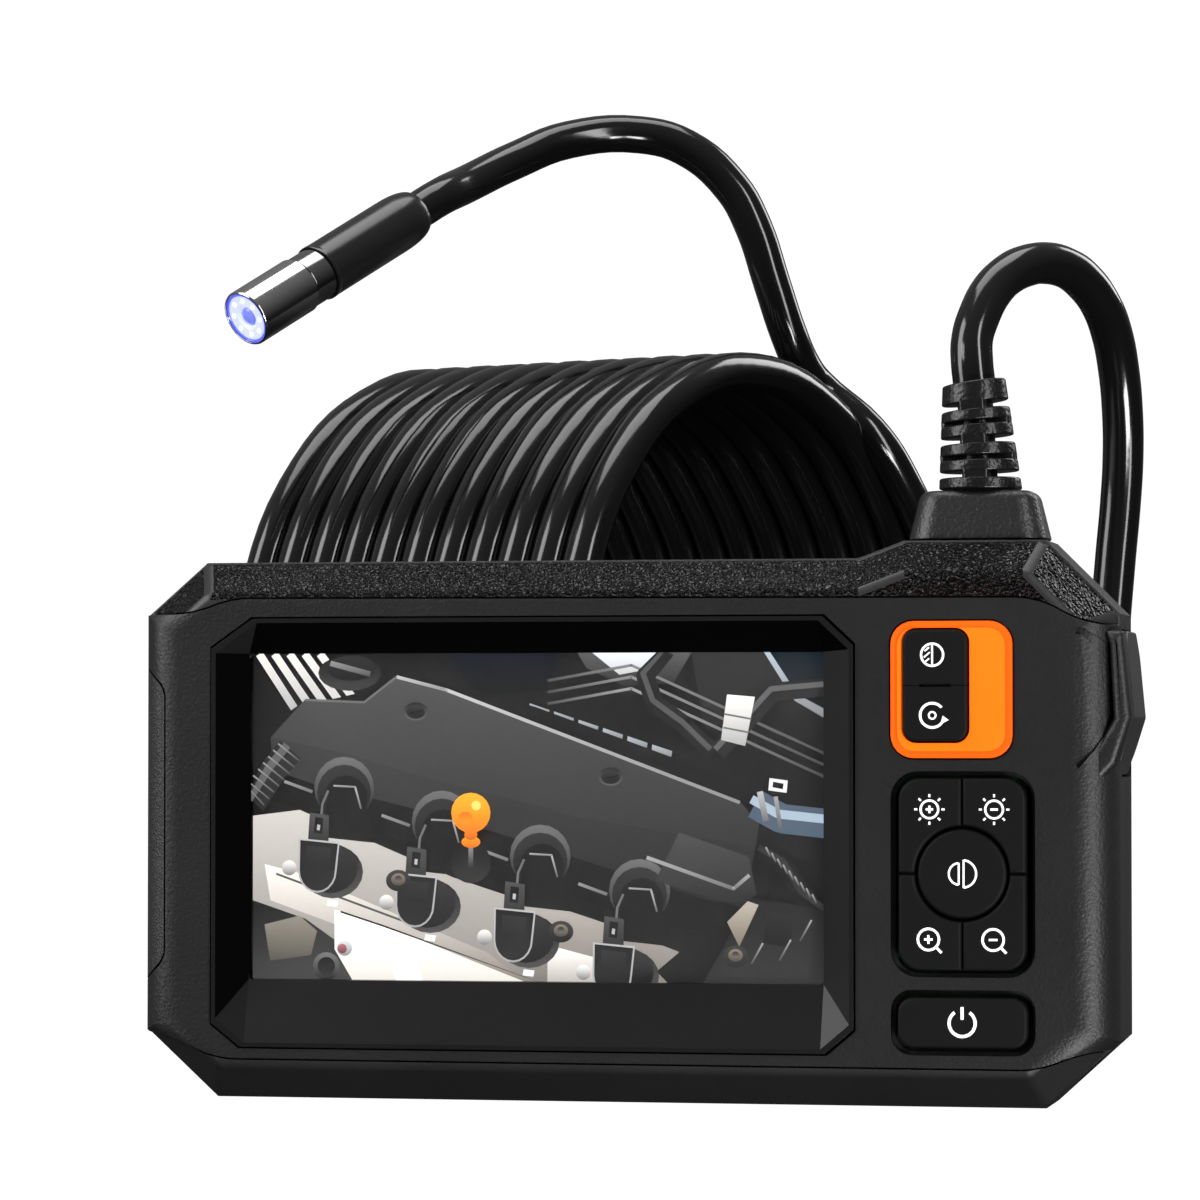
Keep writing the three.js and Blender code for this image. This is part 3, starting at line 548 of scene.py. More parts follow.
def sloped_blank(inset=0.0):
    """The whole unit with flat slopes round its front and rear, or a smaller one inside it."""
    middle = REAR - EDGE_ROUND
    bm = drawn(OUTLINE, -middle, middle, inset=inset)
    for side in (-1, 1):
        cap = [f for f in bm.faces if f.normal.y * side > 0.9]
        bmesh.ops.inset_region(bm, faces=cap, thickness=BUMPER_SLOPE, use_even_offset=True)
        verts = {v for f in cap for v in f.verts}
        bmesh.ops.translate(bm, vec=(0, side * (EDGE_ROUND - inset), 0), verts=list(verts))
    return bm


def band_between(trim):
    """Fills the band between the bumpers from front to rear."""
    return drawn(band_outline(trim), FRONT - 5, REAR + 5, BAND_CORNER)


def half_space(y0, y1):
    return rounded_block((-BEYOND, BEYOND, -5, BEYOND), y0, y1)


def case_blank():
    """Both housings as one shell, before it is parted into halves."""
    shell = combine(common(rounded_blank(), band_between(GAP / 2)), "UNION", sloped_blank(CORE_INSET))
    room = (-SIDE + 7, SIDE - 8, 13, TOP - 12.2)
    return cut(shell, rounded_block(room, FRONT + CASE_WALL, REAR - CASE_WALL, 3.0), *seats())


GRIP_LOW, GRIP_HIGH = span("left_grip_pad")
PORT_LOW, PORT_HIGH = span("port_cover")
GRIP_SLOPE = 4.0  # the grip's ends slope by this much in height


def grip_outline(grow):
    x1 = GRIP_HIGH.x + grow
    z0, z1 = GRIP_LOW.z - grow, GRIP_HIGH.z + grow
    return [
        (-SIDE - 6, z0 - 2), (-SIDE, z0), (x1, z0 + GRIP_SLOPE), (x1, z1 - GRIP_SLOPE), (-SIDE, z1),
        (-SIDE - 6, z1 + 2),
    ]


COVER_FRONT = PORT_LOW.y + 4.0  # the rim on the flank fills what is left in front of the cover


def port_outline(grow):
    """The port cover seen from the side, in Y and Z."""
    y0, y1 = COVER_FRONT - grow, PORT_HIGH.y + grow
    z0, z1 = PORT_LOW.z - grow, PORT_HIGH.z + grow
    return [
        (y0, z0 + 2), (y0 + 2, z0), (y1 - 3, z0), (y1, z0 + 4), (y1, z1 - 4), (y1 - 3, z1), (y0 + 2, z1),
        (y0, z1 - 2),
    ]


def beside(inward, up):
    """A place on the right flank: so far in from its face, so far above the port cover's lower end."""
    return SIDE - inward, PORT_LOW.z + up


def flank_groove():
    """The groove between the thumb rest on the front corner and the rim round the port cover."""
    rest = [beside(*p) for p in ((6.6, 22.6), (5.6, 22.6), (2.7, 20.2), (1.8, 9.6), (4.1, 5.3), (6.6, 2.1))]
    rim = [beside(*p) for p in ((6.2, 23.7), (5.1, 23.6), (1.2, 21), (0.5, 9), (3.6, 4), (6.1, 1.1))]
    return cut(drawn(rest + rim[::-1], FRONT - 2, -8), rounded_blank(0.9))


def flank_rim():
    """The rim that stands out in front of the port cover and runs down into the flank."""
    outline = [beside(*p) for p in (
        (2.0, 23.2), (-0.9, 23.2), (-2.3, 9.3), (0.2, 1.8), (3, -1.2), (5.4, 0.4), (4.0, 3.6), (0.6, 9.1),
        (1.2, 20.9),
    )]
    shape = drawn(outline, FRONT + 1.3, COVER_FRONT - GAP)
    soften(shape, 1.5, 5, 20, in_front(FRONT + 1.3))
    soften(shape, 0.3, 2, 30)
    return place("flank_rim", shape, "housing_plastic", [HOUSING])


def sideways(outline, x0, x1, corner=0.0):
    """An outline in Y and Z, drawn out along X."""
    bm = drawn(outline, x0, x1, corner)
    bmesh.ops.rotate(bm, matrix=Matrix.Rotation(-math.pi / 2, 3, "Z"), verts=bm.verts)
    bmesh.ops.scale(bm, vec=(1, -1, 1), verts=bm.verts)
    bmesh.ops.recalc_face_normals(bm, faces=bm.faces)
    return bm


def seats():
    """The cuts for the grip, the port cover, the sockets and the cable's spigot."""
    yield drawn(grip_outline(GAP), FRONT - 2, REAR + 2, 1.6)
    yield sideways(port_outline(GAP), PORT_LOW.x - GAP, SIDE + 9, 1.2)
    for node in ("usb_socket", "card_slot"):
        low, high = span(node)
        yield rounded_block((low.x - 4, SIDE, low.z - GAP, high.z + GAP), low.y - GAP, high.y + GAP)
    yield outlet_hole()


OUTLET = centre("boot_base")[0]


def outlet_hole():
    return shifted(cylinder(CABLE_DIAMETER / 2 + 1, 22), OUTLET, 0, HUMP)


BEZEL_BOX = face_box("screen_bezel")
PANE_HIDDEN = 3.0  # how much of the pane the bezel hides on each side
PICTURE_LEFT = 1.1  # and how much less of it on the left
WINDOW = face_box("display_window", -PANE_HIDDEN)
WINDOW = (WINDOW[0] - PICTURE_LEFT, *WINDOW[1:])
KEY_RIM = 0.9  # the clearing round the keys
PAD = (
    face_box("light_up_key")[0] - KEY_RIM, face_box("light_down_key")[1] + KEY_RIM,
    face_box("zoom_in_key")[2] - KEY_RIM, face_box("light_up_key")[3] + KEY_RIM,
)
POWER = face_box("power_key", KEY_RIM)
FRAME = face_box("key_frame")
ROCKER = (*face_box("contrast_key")[:2], face_box("rotate_key")[2], face_box("contrast_key")[3])
RECESS = 1.9
FRAME_RECESS = 1.1


def bezel_outline(grow=0.0):
    x0, x1, z0, z1 = BEZEL_BOX
    x0, x1, z0, z1 = x0 - grow, x1 + grow, z0 - grow, z1 + grow
    return [
        (x0 + 4.9, z0), (x1 - 4.7, z0), (x1, z0 + 4), (x1, z1 - 4.7), (x1 - 5, z1), (x0 + 7, z1),
        (x0, z1 - 4.9), (x0, z0 + 3.9),
    ]


def grown(box, by):
    x0, x1, z0, z1 = box
    return x0 - by, x1 + by, z0 - by, z1 + by


def front_shell():
    shell = common(case_blank(), half_space(FRONT - 2, -GAP / 2))
    through = FRONT + CASE_WALL + 1
    shell = cut(
        shell,
        drawn(bezel_outline(GAP), FRONT - 1, FRONT + 7.5),
        rounded_block(PAD, FRONT - 1, FRONT + RECESS, 4.4),
        rounded_block(POWER, FRONT - 1, FRONT + RECESS, 3.4),
        flank_groove(),
        rounded_block(grown(FRAME, GAP), FRONT - 1, FRONT + FRAME_RECESS, 4),
        rounded_block(grown(PAD, GAP - KEY_RIM), FRONT, through, 3.8),
        rounded_block(grown(POWER, GAP - KEY_RIM), FRONT, through, 2.8),
        rounded_block(grown(ROCKER, GAP), FRONT, through, 2.3),
    )
    soften(shell, 0.32)
    return place("front_shell", shell, "housing_plastic", [HOUSING], replaces=["front_housing"])


WELL_RADIUS = 2.8


def rear_shell():
    shell = common(case_blank(), half_space(GAP / 2, REAR + 2))
    wells = []
    for i in range(1, 5):
        x, z = centre(f"case_screw_{i}")
        wells.append(shifted(along_y(cylinder(WELL_RADIUS, 4)), x, REAR - 0.6, z))
    shell = cut(shell, *wells)
    soften(shell, 0.22)
    return place("rear_shell", shell, "housing_plastic", [HOUSING], replaces=["rear_housing"])


GRAINED_SLOPE = 0.3  # faces that look this far forwards or back carry the grain
GRAINED_AREA = 6.0  # and are larger than this, in square millimetres


def bumper(name, node, z0, z1, tools=()):
    """One rubber bumper; the top one has the leather grain on its slopes."""
    part = rounded_block((-BEYOND, BEYOND, z0, z1), FRONT - 2, REAR + 2)
    blank = sloped_blank()
    soften(blank, 0.9, 3, 18)
    shape = common(cut(blank, band_between(-GAP / 2)), part)
    shape = cut(shape, sloped_blank(BUMPER_INSIDE), *tools)
    soften(shape, 0.2, 2, 40)
    for face in shape.faces:
        grained = abs(face.normal.y) > GRAINED_SLOPE and face.calc_area() > GRAINED_AREA
        face.material_index = int(node == "top_bumper" and grained)
    return place(name, shape, "bumper_rubber", [BUMPER, BUMPER_GRAIN], replaces=[node])


GRIP_RIBS = 9
RIB_WIDTH = 1.0


def grip():
    shape = common(rounded_blank(), drawn(grip_outline(0), FRONT - 1, REAR + 1, 1.5))
    ribs = []
    for i in range(GRIP_RIBS):
        z = GRIP_LOW.z + 9 + i * (GRIP_HIGH.z - GRIP_LOW.z - 18) / (GRIP_RIBS - 1)
        rib = (-SIDE - 1, -SIDE + 0.5, z - RIB_WIDTH / 2, z + RIB_WIDTH / 2)
        ribs.append(rounded_block(rib, -8, 8, 0.3))
    shape = cut(shape, *ribs)
    soften(shape, 0.35, 3, 40)
    return place("left_grip", shape, "bumper_rubber", [GRIP], replaces=["left_grip_pad"])


def port_flap():
    """The rubber cover of the sockets, which swells out of the flank and is fullest near its lower end."""
    back = SIDE - PORT_LOW.x
    side = [beside(*p) for p in ((back, 0), (0.4, 0), (0, 2), (-2.3, 9.3), (-1, 23.3), (back, 23.3))]
    shape = common(
        drawn(side, COVER_FRONT - 1, PORT_HIGH.y + 1),
        sideways(port_outline(0), PORT_LOW.x, PORT_HIGH.x + 1, 1.0),
    )
    soften(shape, 0.7, 4, 20)
    return place("port_flap", shape, "bumper_rubber", [BUMPER], "port_cover", ["port_cover"])


front_shell()
rear_shell()
flank_rim()
bumper("top_guard", "top_bumper", TOP / 2, HUMP + 5, [outlet_hole()])
bumper("bottom_guard", "bottom_bumper", -5, TOP / 2)
grip()
port_flap()


# ---------- bezel ----------
BEZEL_FRONT, BEZEL_BACK = span("screen_bezel")[0].y, span("screen_bezel")[1].y
BEZEL_LAND = 0.7  # the flat rim round the slopes
WINDOW_DEPTH = 3.9


def bezel():
    slopes = bmesh.new()
    for x, z in bezel_outline(-BEZEL_LAND):
        slopes.verts.new((x, BEZEL_FRONT - NEAR, z))
    for x, z in oblong(WINDOW):
        slopes.verts.new((x, BEZEL_FRONT + WINDOW_DEPTH, z))
    bmesh.ops.convex_hull(slopes, input=slopes.verts)
    bmesh.ops.recalc_face_normals(slopes, faces=slopes.faces)
    opening = rounded_block(WINDOW, BEZEL_FRONT + 1, BEZEL_BACK + 1, 0.9)
    shape = cut(drawn(bezel_outline(), BEZEL_FRONT, BEZEL_BACK), slopes, opening)
    for face in shape.faces:
        # the slopes above and on the left take a darker copy of the gloss without reflection, painted shade,
        # apart from the corner between them
        upper, left = face.normal.z < -0.3, face.normal.x > 0.3
        face.material_index = int(upper != left)
    soften(shape, 0.16, 2, 12)
    return place("bezel", shape, "gloss_trim", [BEZEL, BEZEL_PAINTED_SHADE], replaces=["screen_bezel"], crease=20)


bezel()


# ---------- keys ----------
KEY_FRONT = span("mirror_key")[0].y
KEY_DEPTH = 2.9
KEY_BACK = KEY_FRONT + KEY_DEPTH
PRINT_THICKNESS = 0.05


def ring(bm, x, y, z, radius, width, start=0.0, sweep=360.0):
    """A flat printed ring, or an arc of one that starts at an angle in degrees and runs anticlockwise."""
    inner, outer = radius - width / 2, radius + width / 2
    corners = [(inner, y), (outer, y), (outer, y - PRINT_THICKNESS), (inner, y - PRINT_THICKNESS)]
    angle = math.radians(start)
    verts = [bm.verts.new((x + r * math.cos(angle), depth, z + r * math.sin(angle))) for r, depth in corners]
    face = bm.faces.new(verts)
    geometry = verts + list(face.edges)
    if sweep < 360:
        geometry.append(face)
    else:
        bm.faces.remove(face)
    spin(bm, geometry, (x, y, z), (0, -1, 0), sweep, max(8, round(sweep / 9)))


def bar(bm, x, y, z, length, width, angle=0.0):
    """A flat printed bar, turned by an angle in degrees."""
    made = bmesh.ops.create_cube(bm, size=1)["verts"]
    bmesh.ops.scale(bm, vec=(length, PRINT_THICKNESS, width), verts=made)
    bmesh.ops.rotate(bm, matrix=Matrix.Rotation(-math.radians(angle), 3, "Y"), verts=made)
    bmesh.ops.translate(bm, vec=(x, y - PRINT_THICKNESS / 2, z), verts=made)


def plus(bm, x, y, z, size, width, minus=False):
    bar(bm, x, y, z, size, width)
    if not minus:
        for side in (-1, 1):
            bar(bm, x, y, z + side * (size + width) / 4, (size - width) / 2, width, 90)


def sun(bm, x, y, z, minus):
    ring(bm, x, y, z, 1.42, 0.36)
    plus(bm, x, y, z, 1.2, 0.36, minus)
    reach = 2.2
    for angle in range(0, 360, 45):
        turn = math.radians(angle)
        bar(bm, x + reach * math.cos(turn), y, z + reach * math.sin(turn), 0.5, 0.32, angle)


def magnifier(bm, x, y, z, minus):
    ring(bm, x - 0.2, y, z + 0.2, 1.7, 0.4)
    plus(bm, x - 0.2, y, z + 0.2, 1.4, 0.36, minus)
    bar(bm, x + 1.5, y, z - 1.5, 1.2, 0.42, -45)


def contrast_sign(bm, x, y, z):
    ring(bm, x, y, z, 1.78, 0.36)
    bar(bm, x, y, z, 3.2, 0.3, 90)
    for shift in (-0.9, 0.0, 0.9):
        bar(bm, x - 0.85, y, z + shift, 1.25 if shift == 0 else 0.95, 0.26, 40)


def turn_sign(bm, x, y, z):
    ring(bm, x, y, z, 1.95, 0.42, 40, 285)
    tip = [(x + 2.65, z - 0.75), (x + 1.7, z - 0.05), (x + 1.3, z - 1.45)]
    arrow = bm.faces.new([bm.verts.new((a, y - PRINT_THICKNESS, b)) for a, b in tip])
    up = bmesh.ops.extrude_face_region(bm, geom=[arrow])["geom"]
    bmesh.ops.translate(bm, vec=(0, PRINT_THICKNESS, 0), verts=moved(up))
    ring(bm, x, y, z, 0.55, 0.3)


def mirror_sign(bm, x, y, z):
    ring(bm, x - 0.35, y, z, 1.75, 0.32, 96, 168)
    bar(bm, x - 0.5, y, z, 3.5, 0.3, 90)
    ring(bm, x + 0.1, y, z, 2.2, 0.34, -84, 168)
    bar(bm, x + 0.28, y, z, 4.5, 0.3, 90)


def power_sign(bm, x, y, z):
    ring(bm, x, y, z, 2.1, 0.5, 125, 290)
    bar(bm, x, y, z + 1.6, 2.0, 0.5, 90)


KEY_STANDS_BACK = 0.5
KEY_STANDS_DOWN = 0.2
KEY_MEETS = 0.14
ROUND_KEY = 7.15  # its radius
ROUND_CLEARING = 7.65


MIRROR = centre("mirror_key")


def pad_key(name, outer_corner):
    """One quarter of the pad: its outer corner is rounded and the round key's clearing is cut out of it."""
    x0, x1, z0, z1 = face_box(name)
    side_x, side_z = outer_corner
    # the outer sides stand back a little, and the inner ones nearly meet
    x0, x1 = (x0 + KEY_STANDS_BACK, x1 + KEY_MEETS) if side_x < 0 else (x0 - KEY_MEETS, x1 - KEY_STANDS_BACK)
    z0, z1 = (z0 + KEY_STANDS_DOWN, z1 + KEY_MEETS) if side_z < 0 else (z0 - KEY_MEETS, z1 - KEY_STANDS_DOWN)
    shape = rounded_block((x0, x1, z0, z1), KEY_FRONT, KEY_BACK)
    corner_x = x1 if side_x > 0 else x0
    corner_z = z1 if side_z > 0 else z0
    edge = [
        e for e in shape.edges
        if all(abs(v.co.x - corner_x) < NEAR and abs(v.co.z - corner_z) < NEAR for v in e.verts)
    ]
    bevel(shape, edge, 3.5, 8)
    return cut(shape, shifted(along_y(cylinder(ROUND_CLEARING, 9, 72)), MIRROR[0], KEY_FRONT, MIRROR[1]))


def on_split(edge, z):
    return all(abs(v.co.z - z) < 0.3 for v in edge.verts)


def key(name, shape, front, sign, x, z, crown=0.6, split=None):
    """A rubber key with its edge rounded, except along a split, and its white sign printed on it."""
    soften(shape, crown, 4, 40, lambda e: in_front(front)(e) and not (split and on_split(e, split)))
    sign_mesh = bmesh.new()
    sign(sign_mesh, x, front, z)
    bmesh.ops.recalc_face_normals(sign_mesh, faces=sign_mesh.faces)
    for face in sign_mesh.faces:
        face.material_index = 1
    stem = shifted(along_y(cylinder(1.5, 2.4, 24)), x, KEY_BACK + 1, z)
    whole = joined([shape, stem, sign_mesh])
    return place(name + "_cap", whole, "key_rubber", [KEY, GLOWING_PRINT], name, [name])


SIGN_X = 5.2
for name, corner, sign, minus in (
    ("light_up_key", (-1, 1), sun, False),
    ("light_down_key", (1, 1), sun, True),
    ("zoom_in_key", (-1, -1), magnifier, False),
    ("zoom_out_key", (1, -1), magnifier, True),
):
    key(
        name, pad_key(name, corner), KEY_FRONT,
        lambda bm, x, y, z, sign=sign, minus=minus: sign(bm, x, y, z, minus),
        MIRROR[0] + corner[0] * SIGN_X, MIRROR[1] + (10.3 if corner[1] > 0 else -10.7),
    )
round_key = along_y(cylinder(ROUND_KEY, KEY_DEPTH, 72))
shifted(round_key, MIRROR[0], KEY_FRONT + KEY_DEPTH / 2, MIRROR[1])
key("mirror_key", round_key, KEY_FRONT, mirror_sign, *MIRROR)

ROCKER_FRONT = span("contrast_key")[0].y
SLIT = 5.0


def rocker_key(name, upper, sign):
    """One half of the rocker. The two nearly meet, with a short slit in the middle of their line."""
    x0, x1, z0, z1 = face_box(name)
    z0, z1 = (z0 - 0.2, z1) if upper else (z0, z1 + 0.2)
    shape = rounded_block((x0, x1, z0, z1), ROCKER_FRONT, KEY_BACK)
    outer, inner = (z1, z0) if upper else (z0, z1)
    bevel(shape, [e for e in running(shape, 1) if abs(e.verts[0].co.z - outer) < NEAR], 2, 8)
    middle = (x0 + x1) / 2
    slit = (middle - SLIT / 2, middle + SLIT / 2, inner - 0.25, inner + 0.25)
    shape = cut(shape, rounded_block(slit, ROCKER_FRONT - 1, ROCKER_FRONT + 0.6))
    key(name, shape, ROCKER_FRONT, sign, middle - 0.4, (z0 + z1) / 2 + (0.4 if upper else -0.3), 0.5, inner)


rocker_key("contrast_key", True, contrast_sign)
rocker_key("rotate_key", False, turn_sign)
power_cap = rounded_block(face_box("power_key", -0.3), KEY_FRONT, KEY_BACK, 2.5)
key("power_key", power_cap, KEY_FRONT, power_sign, *centre("power_key"))


def orange_frame():
    low, high = span("key_frame")
    shape = rounded_block(FRAME, low.y, high.y, 3.7)
    soften(shape, 0.5, 4, 40, in_front(low.y))
    border = cut(
        rounded_block(grown(FRAME, 1), low.y - 1, low.y + 0.3, 4.7),
        rounded_block(grown(FRAME, -1.1), low.y - 2, low.y + 1, 2.8),
    )
    shape = cut(shape, rounded_block(grown(ROCKER, GAP), low.y - 1, high.y + 1, 2.3), border)
    soften(shape, 0.12, 2, 50)
    # faces set back from the front take the darker copy with the weaker glow: painted shade
    for face in shape.faces:
        face.material_index = int(face.calc_center_median().y > low.y + 0.05)
    return place("orange_frame", shape, "orange_trim", [SELF_LIT_ORANGE, ORANGE_PAINTED_SHADE], replaces=["key_frame"])


orange_frame()


# ---------- display picture ----------
PICTURE_Y = span("display_window")[1].y + 0.08
LAYER = 0.004
WIDE, HIGH = WINDOW[1] - WINDOW[0], WINDOW[3] - WINDOW[2]
OVERLAP = 0.6  # how far the picture may run on behind the bezel


class Picture:
    """Flat coloured shapes in layers, drawn in millimetres from the lower left corner of the display."""

    def __init__(self):
        self.bm = bmesh.new()
        self.tint = self.bm.loops.layers.float_color.new("picture")
        self.level = 0

    def shape(self, points, top, bottom=None):
        """A polygon whose colour runs from top to bottom over its height; one number is a grey."""
        self.level += 1
        y = PICTURE_Y - self.level * LAYER
        inside = [
            (min(max(x, -OVERLAP), WIDE + OVERLAP), min(max(z, -OVERLAP), HIGH + OVERLAP)) for x, z in points
        ]
        face = self.bm.faces.new([self.bm.verts.new((WINDOW[0] + x, y, WINDOW[2] + z)) for x, z in inside])
        ends = [end if isinstance(end, tuple) else grey(end) for end in (top, bottom or top)]
        heights = [z for _, z in inside]
        low, high = min(heights), max(heights)
        for loop, (_, z) in zip(face.loops, inside):
            share = (z - low) / max(high - low, 0.001)
            loop[self.tint] = (*(a * share + b * (1 - share) for a, b in zip(*ends)), 1)

    def disc(self, x, z, radius, top, bottom=None, squash=1.0, steps=20):
        turns = [2 * math.pi * i / steps for i in range(steps)]
        rim = [(x + radius * math.cos(a), z + radius * squash * math.sin(a)) for a in turns]
        self.shape(rim, top, bottom)

    def line(self, points, width, top, bottom=None):
        """A band of even width along a few points."""
        for (x0, z0), (x1, z1) in zip(points, points[1:]):
            length = math.hypot(x1 - x0, z1 - z0)
            across = Vector(((z0 - z1) / length, (x1 - x0) / length)) * width / 2
            a, b = across
            self.shape([(x0 - a, z0 - b), (x1 - a, z1 - b), (x1 + a, z1 + b), (x0 + a, z0 + b)], top, bottom)
        for x, z in points[1:-1]:
            self.disc(x, z, width / 2, top, bottom, steps=12)

    def pipe(self, points, width, dark, light):
        """A hose: a dark band with a light streak along its upper side."""
        self.line(points, width, dark)
        self.line([(x - width * 0.12, z + width * 0.16) for x, z in points], width * 0.3, light)


DARK = 0.008
PALE = (0.86, 0.84, 0.8)
AMBER = (1.0, 0.42, 0.02)


def engine_bay(picture):
    """A car's engine seen from above: a dark cover, four ignition coils in a row, and bare metal below."""
    picture.shape([(0, 0), (WIDE, 0), (WIDE, HIGH), (0, HIGH)], 0.022, 0.03)
    background(picture)
    bare_metal(picture)
    engine_cover(picture)
    for i in range(4):
        ignition_coil(picture, 11.5 + i * 16.6, 24.4 - i * 5.6)
    dipstick(picture)
    fittings(picture)


def background(picture):
    for i in range(5):
        x = 1 + i * 2.6
        picture.line([(x, HIGH), (x + 6 + i, HIGH - 9 - i)], 1.3, PALE, 0.5)
    picture.disc(16.5, HIGH - 3.2, 5.4, 0.02, 0.08, 0.55)
    picture.disc(16.8, HIGH - 2.4, 4.2, 0.06, 0.015, 0.5)
    picture.line([(13.2, HIGH - 1.6), (20, HIGH - 3.4)], 0.9, 0.35, 0.12)
    picture.shape([(33, HIGH), (52, HIGH), (50, HIGH - 6), (38, HIGH - 7)], (0.012, 0.018, 0.035), DARK)
    picture.shape([(55, HIGH), (74, HIGH), (71, HIGH - 5), (63, HIGH - 5.5), (56.5, HIGH - 2.5)], 0.16, 0.05)
    picture.shape([(57.5, HIGH), (68.5, HIGH), (67.5, HIGH - 2.6), (62, HIGH - 3.6)], (0.8, 0.85, 0.9), 0.6)
    picture.shape([(74, HIGH), (WIDE, HIGH), (WIDE, 38), (84, 37), (76, 42)], 0.06, 0.025)
    picture.shape([(86, HIGH), (WIDE, HIGH), (WIDE, 43), (91, 46)], (0.5, 0.56, 0.62), 0.3)
    picture.shape([(87, HIGH), (WIDE, HIGH), (WIDE, 44.5), (91.5, 47)], (0.02, 0.035, 0.05), 0.03)
    for i, lift in enumerate((0, 1.9, 3.8)):
        picture.line([(50, 45.5 + lift), (64, 48 + lift), (WIDE, 33.5 + lift)], 0.45, 0.4 - 0.06 * i, 0.1)
    for i in range(6):
        x, z = 47 + i * 4.1, 45.6 - i * 1.35
        plate = [(x, z), (x + 3.3, z - 1.1), (x + 3, z - 3.0), (x - 0.2, z - 1.8)]
        picture.shape(plate, (0.45, 0.48, 0.5), 0.2)


def bare_metal(picture):
    sheet = [(0, 27), (8, 28), (34, 17), (62, 8), (70, 0), (0, 0)]
    picture.shape(sheet, (0.62, 0.6, 0.57), (0.3, 0.28, 0.26))
    ridge = [(2, 19), (8, 17.5), (40, 4.6), (46, 0), (40, 0), (3, 13)]
    picture.shape(ridge, (0.85, 0.82, 0.78), (0.3, 0.27, 0.24))
    picture.shape([(0, 13), (9, 10), (17, 4.5), (17, 0), (0, 0)], 0.02, 0.09)
    picture.shape([(2, 9), (8, 10.5), (11, 8), (10, 4), (3, 3)], (0.32, 0.3, 0.26), (0.14, 0.13, 0.11))
    picture.disc(12.6, 2.2, 2.3, 0.22, 0.03)
    picture.disc(12.6, 2.2, 1.5, DARK, 0.05)
    picture.shape([(14, 11.5), (21, 9.5), (46, 0), (17, 0), (14, 5)], (0.98, 0.97, 0.94), (0.72, 0.7, 0.66))
    picture.shape([(22, 7), (27, 6), (29, 0), (24.5, 0)], (0.78, 0.75, 0.7), (0.95, 0.94, 0.9))
    picture.line([(15, 11.2), (22, 9), (50, -1)], 0.3, DARK)
    picture.disc(15.7, 5.2, 1.3, (0.7, 0.72, 0.74), 0.3)
    picture.disc(15.3, 5.1, 0.8, (0.5, 0.22, 0.26), (0.2, 0.08, 0.1))
    picture.line([(4, 17.4), (30, 8.2)], 0.35, 0.12)
    flange = [(46, 14), (60, 9.5), (72, 5), (66, 0), (48, 0), (44, 6)]
    picture.shape(flange, (0.5, 0.47, 0.44), (0.26, 0.24, 0.22))
    picture.shape([(50, 6), (58, 4), (60, 0), (50, 0)], (0.9, 0.88, 0.84), (0.5, 0.48, 0.45))


def engine_cover(picture):
    """The moulded cover that runs down to the right, with an arch cut out of it over each coil."""
    rim = [(4, 41), (12, 46), (30, 50), (48, 45), (84, 32), (88, 24), (86, 8), (70, 9), (2, 30)]
    picture.shape(rim, DARK)
    top = [(3, 40), (9, 46.4), (19, 46), (24.5, 50.2), (33, 48), (82, 29.6)]
    picture.shape([*top, (85.2, 26), (84.6, 22), (56, 26.6), (28, 33.6), (14, 37.6)], 0.11, 0.05)
    picture.shape([(3, 40), (14, 37.8), (28, 33.8), (56, 26.8), (84.6, 22.2), (83, 14), (78, 13)] + [
        (62, 18), (44, 23.6), (26, 28.6), (10, 32.4), (3.4, 34.6)], 0.075, 0.03)
    picture.line([(24.5, 50), (33, 47.8), (82, 29.4)], 0.55, 0.55, 0.3)
    picture.line([(9, 46.2), (19, 45.8), (24.5, 50)], 0.35, 0.2)
    for i in range(4):
        x, z = 15.6 + i * 16.6, 31.6 - i * 5.55
        picture.disc(x, z, 5.1, 0.2, 0.03, 1.02)
        picture.disc(x, z - 0.7, 4.6, 0.05, 0.02, 1.0)
        picture.disc(x + 0.3, z - 1.6, 3.7, DARK, 0.012)
        picture.shape([(x - 4, z - 2), (x + 4.2, z - 3.4), (x + 5, z - 9), (x - 5, z - 8)], DARK, 0.015)
        picture.line([(x - 1.8, z + 0.4), (x + 1.9, z + 0.2), (x + 2.9, z - 3.4)], 0.3, 0.5, 0.2)
        picture.line([(x - 5.4, z - 0.6), (x - 10.2, z + 1.1)], 0.5, 0.34, 0.2)
    for x, z in ((27.8, 44.3), (60.6, 33.6)):
        picture.disc(x, z, 2.1, 0.02, 0.16, 0.72)
        picture.disc(x, z - 0.1, 1.6, 0.06, 0.012, 0.7)
        picture.line([(x - 1.2, z - 0.4), (x + 1.2, z + 0.1)], 0.35, 0.01)
    picture.shape([(72, 24.5), (83.5, 20.6), (84.8, 14.5), (82, 12.4), (68, 16.6)], 0.1, 0.035)
    picture.line([(66.6, 20.4), (81, 15.4), (83.6, 17.6)], 0.6, 0.42, 0.2)


